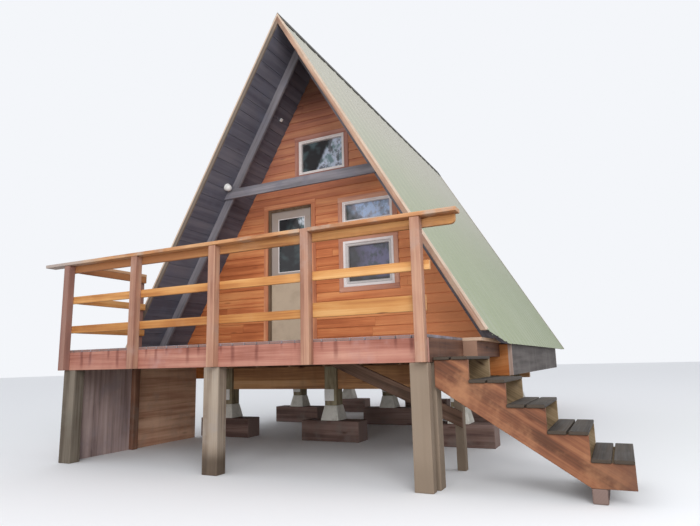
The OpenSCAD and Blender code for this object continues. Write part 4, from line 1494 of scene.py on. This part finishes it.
@dataclass
class Window:
    """One window: frame bars with a stepped sash, and its pane.

    Attributes:
        name: Name that its trim's random draws start from.
        low: Lowest x and z of the frame.
        high: Highest x and z of the frame.
        front: Y of the frame's outer face.
        inward: 1 where inside is towards +Y, -1 where it is towards -Y.
        kind: Where it sits.
        bar: Width of the frame's bars.
        depth: Depth of the frame.
        recess: Depth of the pane behind the frame's face.
        sash: Width of a moving sash's bars inside the frame.
        glass: Thickness of the pane.
        cells: Points along each side of the pane.
    """

    name: str
    low: tuple[float, float]
    high: tuple[float, float]
    front: float
    inward: int
    kind: WindowKind
    bar: float = 0.042
    depth: float = 0.085
    recess: float = 0.055
    sash: float = 0.0
    glass: float = 0.008
    cells: int = 22

    def ring(self, profile: list[list[float]]) -> Surface:
        """Carries rows of inset and depth behind the frame's face round the window.

        Formula: profile point (i, d) becomes the frame's corners moved inwards by i, at
        depth d; each side of the rectangle joins the profile's points one by one.

        Args:
            profile: The rows of inset and depth.

        Returns:
            The surface.
        """
        inset, depth = np.array(profile).T
        left, right = self.low[0] + inset, self.high[0] - inset
        foot, head = self.low[1] + inset, self.high[1] - inset
        x = np.stack([left, right, right, left])
        y = np.broadcast_to(self.front + self.inward * depth, x.shape)
        rings = np.stack([x, y, np.stack([foot, foot, head, head])], axis=-1)
        number = np.arange(x.size).reshape(x.shape)
        turned = np.roll(number, -1, axis=0)
        corners = [number, turned, np.roll(turned, -1, axis=1), np.roll(number, -1, axis=1)]
        return Surface(rings.reshape(-1, 3), [np.stack(corners, axis=-1).reshape(-1, 4)])

    def frame_surface(self) -> Surface:
        """Makes the frame from its stepped profile, with a rounded outer edge.

        Returns:
            The surface.
        """
        edge, step, bead, inner = 0.004, 0.010, 0.006, self.bar
        outer = inner * (0.9 if self.sash else 0.55)
        return self.ring([
            [0.0, edge], [edge, 0.0], [outer - edge, 0.0], [outer, edge], [outer, step],
            [inner - bead, step], [inner, step + bead], [inner, self.recess - 0.002],
            [inner, self.depth], [0.0, self.depth],
        ])

    def sash_surface(self) -> Surface:
        """Makes the moving sash, with a shadow gap to the frame and a bead at the pane.

        Returns:
            The surface.
        """
        hidden, outer, inner = self.bar - 0.002, self.bar + 0.003, self.bar + self.sash
        near, face, bead, back = 0.03, 0.014, 0.008, self.recess - 0.002
        return self.ring([
            [hidden, near], [outer, near], [outer, face], [inner - bead, face],
            [inner, face + bead], [inner, back], [hidden, back],
        ])

    def pane_surface(self) -> Surface:
        """Makes the pane as a grid whose tone marks the part with a painted reflection.

        Formula: tone is a smooth step of u + lean (v - 1/2) past 1 - bright, as wide as the
        kind's softness, with u to the right and v up, both from 0 to 1. It falls to nothing
        below the kind's foot and above its head.

        Returns:
            The surface, a thin closed plate.
        """
        share = np.linspace(0, 1, self.cells)
        u, v = np.meshgrid(share, share, indexing="ij")
        x = self.low[0] + self.bar + u * (self.high[0] - self.low[0] - 2 * self.bar)
        z = self.low[1] + self.bar + v * (self.high[1] - self.low[1] - 2 * self.bar)
        reflected, lean, soft, foot, head = self.kind.value
        # The tone marks where the pane is painted with a reflection.
        step = np.clip((u + lean * (v - 0.5) - (1 - reflected)) / soft + 0.5, 0, 1)
        step *= np.clip((v - foot) / 0.08, 0, 1) * np.clip((head - v) / 0.08, 0, 1)
        near = self.front + self.inward * self.recess
        outer, inner = (
            np.stack([x, np.full_like(x, y), z], axis=-1)
            for y in (near, near + self.inward * self.glass)
        )
        points, faces = shell(outer, inner)
        return Surface(points, faces, tone=np.repeat(step * step * (3 - 2 * step), 2))

    def trim_surface(self, width: float, thick: float) -> Surface:
        """Makes four flat boards round the window, the upright ones between the others.

        Args:
            width: Width of the boards.
            thick: Thickness of the boards.

        Returns:
            The surface.
        """
        (x0, z0), (x1, z1) = self.low, self.high
        y = self.front + self.inward * thick / 2
        half = width / 2
        starts = [
            [x0 - width, y, z0 - half], [x0 - width, y, z1 + half], [x0 - half, y, z0],
            [x1 + half, y, z0],
        ]
        ends = [
            [x1 + width, y, z0 - half], [x1 + width, y, z1 + half], [x0 - half, y, z1],
            [x1 + half, y, z1],
        ]
        sides = np.eye(3)[[2, 2, 0, 0]]
        return planks(np.array(starts), np.array(ends), sides, width, thick, random_for(self.name))


@dataclass
class Openings:
    """The front and rear windows with their trim.

    Attributes:
        layout: Planes and edges of the cabin.
        trim_width: Width of the trim boards.
        trim_thick: Thickness of the trim boards.
        transom_foot: Height above the deck over which a window is a transom.
        gable_foot: Height above the deck over which a window is in the gable.
        sash: Width of the low windows' moving sash bars.
        windows: The windows, read from the frame.
    """

    layout: Layout
    trim_width: float = 0.07
    trim_thick: float = 0.022
    transom_foot: float = 1.5
    gable_foot: float = 2.2
    sash: float = 0.034
    windows: list[Window] = field(default_factory=list)

    def __post_init__(self) -> None:
        """Reads the windows' places from the frame."""
        for low, high in node_corners("window_frames"):
            is_front = low[1] < (self.layout.wall + self.layout.rear) / 2
            height = low[2] - self.layout.deck
            kind = WindowKind.GABLE if height > self.gable_foot else WindowKind.LOW
            if self.transom_foot < height <= self.gable_foot:
                kind = WindowKind.TRANSOM
            self.windows.append(Window(
                f"{'front' if is_front else 'rear'}_{kind.name.lower()}_window",
                (low[0], low[2]), (high[0], high[2]),
                low[1] if is_front else high[1], 1 if is_front else -1, kind,
                sash=self.sash if kind is WindowKind.LOW else 0.0,
            ))

    def build(self) -> None:
        """Builds and dresses the windows, and the trim round them and the door."""
        sashes = Surface.joined([window.sash_surface() for window in self.windows if window.sash])
        settle(sashes.to_object("sliding_sashes"), Finishes.SASH)
        rings = Surface.joined([window.frame_surface() for window in self.windows])
        settle(
            rings.to_object("stepped_window_frames"), Finishes.WHITE, nodes=("window_frames",)
        )
        for kind in (WindowKind.GABLE, WindowKind.TRANSOM, WindowKind.LOW):
            panes = Surface.joined([w.pane_surface() for w in self.windows if w.kind is kind])
            piece = panes.to_object(f"{kind.name.lower()}_panes")
            settle(piece, Finishes.PANES[kind], nodes=("window_glass",))
        for finish, upper in ((Finishes.SIDING_TRIM, True), (Finishes.PINK_TRIM, False)):
            trims = Surface.joined([
                replace(window, front=self.trim_face(window.inward))
                .trim_surface(self.trim_width, self.trim_thick)
                for window in self.windows if (window.kind is WindowKind.GABLE) is upper
            ])
            settle(trims.to_object(f"{finish.name}_boards"), finish, nodes=("opening_trim",))
        boards = self.door_trim().to_object("door_trim_boards")
        settle(boards, Finishes.TRIM, nodes=("opening_trim",))

    def trim_face(self, inward: int) -> float:
        """Returns the Y of the trim's outer face on the front wall or the rear one."""
        wall = self.layout.wall if inward > 0 else self.layout.rear
        return wall - inward * self.trim_thick

    def door_trim(self) -> Surface:
        """Makes two uprights and a head board round the door.

        Returns:
            The surface.
        """
        low, high = self.door_box()
        y = self.trim_face(1) + self.trim_thick / 2
        half = self.trim_width / 2
        left, right, head = low[0] + half, high[0] - half, high[2] - half
        starts = np.array([[left, y, low[2]], [right, y, low[2]], [low[0], y, head]])
        ends = np.array([[left, y, head - half], [right, y, head - half], [high[0], y, head]])
        sides, source = np.eye(3)[[0, 0, 2]], random_for("door_trim")
        return planks(starts, ends, sides, self.trim_width, self.trim_thick, source)

    def door_box(self) -> tuple[Array, Array]:
        """Returns the corners of the door's trim, the only one that reaches the deck."""
        boxes = node_corners("opening_trim")
        return next(box for box in boxes if box[0][2] < self.layout.deck + 0.1)

    def holes(self, outward: int) -> list[tuple[float, float, float, float]]:
        """Returns what one end wall's siding stops at, about the centre plane and deck.

        Args:
            outward: -1 for the front wall, 1 for the rear one.

        Returns:
            Lowest and highest x and z of each.
        """
        middle, deck, trim = self.layout.middle, self.layout.deck, self.trim_width
        found = [
            (
                window.low[0] - trim - middle, window.high[0] + trim - middle,
                window.low[1] - trim - deck, window.high[1] + trim - deck,
            )
            for window in self.windows if window.inward == -outward
        ]
        if outward < 0:
            low, high = self.door_box()
            found.append((low[0] - middle, high[0] - middle, 0.0, high[2] - deck))
        return found


@dataclass
class Deck:
    """Deck boards, rims, joists, supports, brace and skirts.

    Attributes:
        board_width: Width of a deck board.
        gap: Gap between two deck boards.
        inner_width: Width of a floor board inside.
        inner_gap: Gap between two floor boards.
        bow: Largest sideways bend of a board.
        post_wear: Width of the supports' worn edges.
        apart: Distance past which a support stands in another row.
    """

    board_width: float = 0.140
    gap: float = 0.006
    inner_width: float = 0.184
    inner_gap: float = 0.002
    bow: float = 0.0008
    post_wear: float = 0.008
    apart: float = 0.3

    def middles(self, node: str, width: float, gap: float) -> tuple[Array, float]:
        """Returns each board's middle over a CAD slab, and the step between boards.

        Formula: board n has its middle at n + 1/2 steps from the slab's left edge, and the
        step is the one next to the width and gap that fills the slab.

        Args:
            node: CAD slab that the boards fill.
            width: Width of a board.
            gap: Gap between two boards.

        Returns:
            The middles' x, and the step.
        """
        low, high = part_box(node)
        count = round((high.x - low.x + gap) / (width + gap))
        step = (high.x - low.x + gap) / count
        return low.x + step * np.arange(count) + (step - gap) / 2, step

    def board_surface(self, node: str, width: float, gap: float) -> Surface:
        """Lays boards of a width and gap from front to rear over a CAD slab.

        Args:
            node: CAD slab that the boards fill.
            width: Width of a board.
            gap: Gap between two boards.

        Returns:
            The surface.
        """
        low, high = (np.array(corner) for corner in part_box(node))
        x, step = self.middles(node, width, gap)
        z = (low[2] + high[2]) / 2
        starts, ends = (
            np.stack(np.broadcast_arrays(x, y, z), axis=1) for y in (low[1], high[1])
        )
        sides = np.broadcast_to([1.0, 0.0, 0.0], starts.shape)
        thick, source = high[2] - low[2], random_for(node)
        return planks(starts, ends, sides, step - gap, thick, source, 0.004, self.bow, 6)

    def build(self) -> None:
        """Builds and dresses the deck."""
        for node, name, finish, width, gap in (
            ("deck_floor", "deck_boards", Finishes.DECK, self.board_width, self.gap),
            ("cabin_floor", "cabin_floor_boards", Finishes.INSIDE, self.inner_width, self.inner_gap),
        ):
            boards = self.board_surface(node, width, gap).to_object(name)
            settle(boards, finish, nodes=(node,))
        TimberCopy("front_rim", self.rim_finish(), 0.004).build()
        TimberCopy("side_rims", Finishes.SIDE_RIM, 0.004).build()
        TimberCopy("deck_joists", Finishes.FRAME, 0.003).build()
        TimberCopy("deck_brace", Finishes.BRACE, 0.004).build()
        TimberCopy("stair_ledger", Finishes.FRAME, 0.004).build()
        spots = np.array([points.mean(axis=0) for points, _ in node_solids("support_posts")])
        left, near, _ = (spots < spots.min(axis=0) + self.apart).T
        for word, finish, wanted in (
            ("left", Finishes.LEFT_SUPPORT, left & near),
            ("divider", Finishes.DIVIDER, left & ~near),
            ("right", Finishes.SUPPORT, ~left),
        ):
            chosen = tuple(np.flatnonzero(wanted).tolist())
            TimberCopy(
                "support_posts", finish, self.post_wear, chosen=chosen, word=word
            ).build()
        for number, finish in enumerate((Finishes.LEFT_SKIRT, Finishes.BROWN_SKIRT)):
            word = f"panel_{number + 1}"
            TimberCopy("left_skirt", finish, 0.003, chosen=(number,), word=word).build()

    def rim_finish(self) -> DrippedTimber:
        """Returns the front rim's finish, with its runs under the deck boards' gaps.

        Returns:
            The finish.
        """
        low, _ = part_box("deck_floor")
        _, step = self.middles("deck_floor", self.board_width, self.gap)
        return DrippedTimber(
            "red_rim_boards", "925A4C AE7667 C2907E B28E8A", weather=0.2, knots=0.5, drips=0.1,
            spread=0.2, rough=0.6, step=step, start=low.x - self.gap / 2, top=low.z,
        )


@dataclass
class Railing:
    """Rail posts, boards and caps.

    Attributes:
        wear: Width of the worn edges.
    """

    wear: float = 0.006

    def build(self) -> None:
        """Builds and dresses the railing, with a finish for each row of boards."""
        TimberCopy("rail_posts", Finishes.POST, self.wear).build()
        TimberCopy("rail_caps", Finishes.CAP, self.wear).build()
        for node in ("front_rails", "side_rails"):
            tops = np.array([high[2] for _, high in node_corners(node)])
            row = np.rint(2 * (tops - tops.min()) / np.ptp(tops)).astype(int)
            for number, (word, finish) in enumerate((
                ("low", Finishes.LOW_RAIL), ("middle", Finishes.RAIL), ("top", Finishes.TOP_RAIL),
            )):
                chosen = tuple(np.flatnonzero(row == number).tolist())
                TimberCopy(node, finish, self.wear, chosen=chosen, word=word).build()


@dataclass
class Stair(TimberSet):
    """Stringers and treads."""

    parts: tuple[TimberCopy, ...] = (
        TimberCopy("stair_stringers", Finishes.STRINGER, chosen=(0,), word="near"),
        TimberCopy("stair_stringers", Finishes.FAR_STRINGER, chosen=(1,), word="far"),
        TimberCopy("stair_treads", Finishes.TREAD, 0.006),
    )


@dataclass
class Base(TimberSet):
    """Floor frame, piers, blocks and sleepers."""

    parts: tuple[TimberCopy, ...] = (
        TimberCopy("floor_joists", Finishes.FRAME, 0.003),
        TimberCopy("floor_beams", Finishes.BEAM, 0.006),
        TimberCopy("eave_beams", Finishes.EAVE_BEAM),
        TimberCopy("sill_plates", Finishes.SILL, 0.003),
        TimberCopy("end_skirts", Finishes.SKIRT, 0.002),
        TimberCopy("side_skirts", Finishes.GREY_SKIRT, 0.003),
        TimberCopy("corner_boards", Finishes.PALE, 0.003),
        TimberCopy("pier_posts", Finishes.PIER, 0.006),
        TimberCopy("sleepers", Finishes.SLEEPER, 0.010),
        TimberCopy("pier_brackets", Finishes.STEEL, 0.001),
        TimberCopy("pier_blocks", Finishes.CONCRETE, 0.012),
    )


@dataclass
class WallCores(TimberSet):
    """The walls behind the siding, seen from inside."""

    parts: tuple[TimberCopy, ...] = tuple(
        TimberCopy(node, Finishes.INSIDE, 0.002)
        for node in ("front_wall_left", "front_wall_right", "front_gable", "rear_wall")
    )


@dataclass
class Entrance:
    """Door frame, leaf, hinges, glass, knob and the porch light.

    Attributes:
        frame_wear: Width of the frame's worn edges.
        leaf_wear: Width of the leaf's worn edges.
        bead: Rows of inset into the glass and depth behind the leaf's face.
    """

    frame_wear: float = 0.003
    leaf_wear: float = 0.002
    bead: tuple[tuple[float, float], ...] = (
        (-0.002, 0.001), (0.010, 0.001), (0.012, 0.004), (0.012, 0.012), (-0.002, 0.012),
    )

    def build(self) -> None:
        """Builds and dresses the door and its frame."""
        TimberCopy("door_frame", Finishes.DOOR_FRAME, self.frame_wear).build()
        TimberCopy("door_leaf", Finishes.DOOR, self.leaf_wear, DOOR).build()
        for node, finish in (
            ("door_hinges", Finishes.STEEL),
            ("door_knob", Finishes.BRASS),
            ("porch_light", Finishes.LAMP),
        ):
            finish.dress(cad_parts[node])
        low, high = (np.array(corner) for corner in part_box("door_glass"))
        kind = WindowKind.DOOR
        pane = Window(
            "door", (low[0], low[2]), (high[0], high[2]), low[1], 1, kind, bar=0.0, recess=0.0
        )
        glass = pane.pane_surface().to_object("door_pane")
        settle(glass, Finishes.PANES[kind], DOOR, ("door_glass",))
        leaf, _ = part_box("door_leaf")
        bead = replace(pane, front=leaf.y).ring(self.bead).to_object("door_glazing_bead")
        settle(bead, Finishes.WHITE, DOOR)


@dataclass
class Fasteners:
    """Screws, bolts and the small fittings of the porch.

    Attributes:
        layout: Planes and edges of the cabin.
        roof: Roof whose ribs carry the screws.
        deck: Deck whose boards carry the screws.
        screw: Radius of a timber screw's head.
        roof_screw: Radius and height of a roof screw's head.
        bolt: Radius and height of a bolt's head.
        edge: Distance of a rail screw from the board's edges.
        spread: Distance of a deck screw from the board's middle.
        levels: Places of the two bolts as shares of the bracket's height.
        box_height: Height of the small white box above the deck.
        box_behind: Distance of the box behind the collar beam.
        box_size: Width, depth and length of the box.
    """

    layout: Layout
    roof: Roof
    deck: Deck
    screw: float = 0.0045
    roof_screw: tuple[float, float] = (0.0065, 0.005)
    bolt: tuple[float, float] = (0.012, 0.009)
    edge: float = 0.022
    spread: float = 0.045
    levels: tuple[float, float] = (0.3, 0.7)
    box_height: float = 3.41
    box_behind: float = 0.40
    box_size: tuple[float, float, float] = (0.05, 0.03, 0.04)

    def roof_screws(self) -> Surface:
        """Sets a screw beside each rib over each strap of both slopes.

        Returns:
            The surface of all heads.
        """
        place = self.layout
        start = place.roof_front + self.roof.rib_foot / 2 + self.roof.rib_foot
        y = np.arange(start, place.roof_back - 0.02, self.roof.pitch())
        y, down = np.meshgrid(y, self.roof.strap_places(), indexing="ij")
        return Surface.joined([
            heads(
                place.on_slope(side, down.ravel(), self.roof.pan - 0.0003, y.ravel()),
                place.outward(side), *self.roof_screw,
            )
            for side in (1, -1)
        ])

    def rail_screws(self) -> Surface:
        """Sets two screws in every board where it crosses a post.

        Returns:
            The surface of all heads.
        """
        spots = []
        posts = node_corners("rail_posts")
        for low, high in node_corners("front_rails"):
            for post_low, post_high in posts:
                x = (post_low[0] + post_high[0]) / 2
                if low[0] - 0.05 < x < high[0] + 0.05 and post_high[1] < low[1] + 0.02:
                    x = np.clip(x, low[0] + 0.02, high[0] - 0.02)
                    spots += [[x, high[1], z] for z in (low[2] + self.edge, high[2] - self.edge)]
        return heads(np.array(spots), (0.0, 1.0, 0.0), self.screw, 0.002)

    def deck_screws(self) -> Surface:
        """Sets two screws in every deck board over each joist.

        Returns:
            The surface of all heads.
        """
        _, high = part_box("deck_floor")
        middle, _ = self.deck.middles("deck_floor", self.deck.board_width, self.deck.gap)
        x = (middle[:, None] + np.array([-self.spread, self.spread])).ravel()
        rows = [(front[1] + back[1]) / 2 for front, back in node_corners("deck_joists")]
        x, y = np.meshgrid(x, np.array(rows), indexing="ij")
        spots = np.stack([x.ravel(), y.ravel(), np.full(x.size, high.z - 0.0016)], axis=1)
        return heads(spots, (0.0, 0.0, 1.0), self.screw, 0.0014)

    def bracket_bolts(self) -> Surface:
        """Sets two bolts through the front face of every pier bracket.

        Returns:
            The surface of all heads.
        """
        spots = [
            [(low[0] + high[0]) / 2, low[1], low[2] + share * (high[2] - low[2])]
            for low, high in node_corners("pier_brackets") for share in self.levels
        ]
        return heads(np.array(spots), (0.0, -1.0, 0.0), *self.bolt)

    def junction_box(self) -> Surface:
        """Makes the small white box under the left roof boards, near the ridge.

        Returns:
            The surface.
        """
        place = self.layout
        x = place.middle - place.roof_x(self.box_height, place.roof_inner) + 0.016
        low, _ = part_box("collar_beam")
        width, depth, length = self.box_size
        centre = np.array([[x, low.y + self.box_behind, place.deck + self.box_height]])
        step = np.array([[0.0, length / 2, 0.0]])
        side = -place.downhill(-1)[None]
        return planks(centre - step, centre + step, side, width, depth, random_for("box"))

    def build(self) -> None:
        """Builds all of them."""
        for surface, name, finish, slot in (
            (self.roof_screws(), "roof_screws", Finishes.ROOF, "roof_metal"),
            (self.rail_screws(), "rail_screws", Finishes.STEEL, "galvanised"),
            (self.deck_screws(), "deck_screws", Finishes.STEEL, "galvanised"),
            (self.bracket_bolts(), "bracket_bolts", Finishes.STEEL, "galvanised"),
            (self.junction_box(), "porch_junction_box", Finishes.LAMP, "lamp_plastic"),
        ):
            settle(surface.to_object(name), finish)


@dataclass
class Studio:
    """Camera, lights, floor and background.

    Attributes:
        eye: Camera's place, from the middle of the deck's front edge.
        yaw: Turn of the camera to the left of +Y, in radians.
        pitch: Tilt above the horizon, in radians.
        roll: Turn about the line of sight, in radians.
        focal: Focal length in pixels of the photograph's frame.
        around: Share of the light all round that falls on the cabin.
        floor_side: Side of the floor.
        lamps: Name, place, aim, size and power in watts of each soft square lamp.
    """

    eye: tuple[float, float, float] = (3.7704, -4.5590, -0.2215)
    yaw: float = 0.4499
    pitch: float = 0.1779
    roll: float = -0.0245
    focal: float = 551.03
    around: float = 0.88
    floor_side: float = 160.0
    lamps: tuple[tuple, ...] = (
        ("sky_front", (7.0, -13.0, 6.5), (1.0, -3.0, 1.5), 6.0, 700.0),
        ("sky_low", (1.0, -16.0, 2.0), (0.5, 0.0, 0.6), 3.0, 330.0),
        ("sky_right", (16.0, -2.0, 14.0), (-0.5, 0.0, 2.5), 12.0, 450.0),
    )

    def stand(self, data: bpy.types.ID, axes: list[Array], place: Array) -> Piece:
        """Puts a camera, a lamp or a mesh into the scene.

        Args:
            data: What the object shows.
            axes: Its right, up and back directions.
            place: Where it stands.

        Returns:
            The new object.
        """
        thing = bpy.data.objects.new(data.name, data)
        matrix = np.eye(4)
        matrix[:3, :3] = np.stack(axes, axis=1)
        matrix[:3, 3] = place
        thing.matrix_world = Matrix(matrix.tolist())
        bpy.context.scene.collection.objects.link(thing)
        return thing

    def camera(self) -> None:
        """Makes the camera at the photograph's place and angle."""
        right = np.array([math.cos(self.yaw), math.sin(self.yaw), 0.0])
        forward = np.array([
            -math.sin(self.yaw) * math.cos(self.pitch),
            math.cos(self.yaw) * math.cos(self.pitch),
            math.sin(self.pitch),
        ])
        up = np.cross(right, forward)
        cos, sin = math.cos(self.roll), math.sin(self.roll)
        data = bpy.data.cameras.new("view")
        data.sensor_width = 36.0
        data.lens = self.focal * data.sensor_width / IMAGE_WIDTH
        data.clip_end = 400.0
        low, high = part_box("deck_floor")
        corner = np.array([(low.x + high.x) / 2, low.y, high.z])
        axes = [right * cos + up * sin, up * cos - right * sin, -forward]
        bpy.context.scene.camera = self.stand(data, axes, corner + np.array(self.eye))

    def light(self, name: str, place: tuple, aim: tuple, size: float, power: float) -> None:
        """Adds one soft square lamp.

        Args:
            name: Name of the lamp.
            place: Where it stands.
            aim: Point that it faces.
            size: Side of the square.
            power: Power in watts.
        """
        data = bpy.data.lights.new(name, "AREA")
        data.size = size
        data.energy = power
        back = np.array(place, float) - np.array(aim, float)
        back /= np.linalg.norm(back)
        right = np.cross([0.0, 0.0, 1.0], back)
        right /= np.linalg.norm(right)
        self.stand(data, [right, np.cross(back, right), back], np.array(place))

    def world(self) -> None:
        """Makes an even pale light all round, which the camera sees at full strength."""
        bpy.context.scene.world = bpy.data.worlds.new("sky")
        graph = Graph(bpy.context.scene.world, "Background", "OutputWorld")
        graph.feed(graph.shader.inputs["Color"], srgb("F4F6FA"))
        seen = graph.add("LightPath").outputs["Is Camera Ray"]
        values = {0: seen, 1: 1.0 - self.around, 2: self.around}
        strength = graph.add("Math", values, operation="MULTIPLY_ADD").outputs[0]
        graph.feed(graph.shader.inputs["Strength"], strength)

    def floor(self) -> None:
        """Makes a pale floor that throws little light up under the deck."""
        half = self.floor_side / 2
        mesh = bpy.data.meshes.new("studio_floor")
        corners = [(-half, -half, 0), (half, -half, 0), (half, half, 0), (-half, half, 0)]
        mesh.from_pydata(corners, [], [(0, 1, 2, 3)])
        graph = Graph(bpy.data.materials.new("pale_floor"))
        path = graph.add("LightPath")
        seen = graph.math("MAXIMUM", path.outputs["Is Camera Ray"], path.outputs["Is Glossy Ray"])
        graph.shade(graph.mix(seen, srgb("B6B0A8"), srgb("F0F1F3")), 0.9)
        mesh.materials.append(graph.owner)
        self.stand(mesh, list(np.eye(3)), np.zeros(3))

    def build(self) -> None:
        """Builds the whole stage."""
        self.camera()
        self.world()
        self.floor()
        for lamp in self.lamps:
            self.light(*lamp)
        bpy.context.scene.view_settings.view_transform = "Standard"


def main() -> None:
    """Builds the cabin's pieces in order and reports each."""
    logging.basicConfig(level=logging.INFO, format="%(name)s: %(message)s")
    layout = Layout.from_frame()
    openings, roof, deck = Openings(layout), Roof(layout), Deck()
    assemblies = [
        Studio(), roof, WallCores(),
        EndWall(layout, "front_siding", layout.wall, -1, openings.holes(-1)),
        EndWall(layout, "rear_siding", layout.rear, 1, openings.holes(1)),
        openings, Entrance(), deck, Railing(), Stair(), Base(), Fasteners(layout, roof, deck),
    ]
    for assembly in assemblies:
        assembly.build()
        LOG.info("built %s", type(assembly).__name__)


if __name__ == "__main__":
    main()
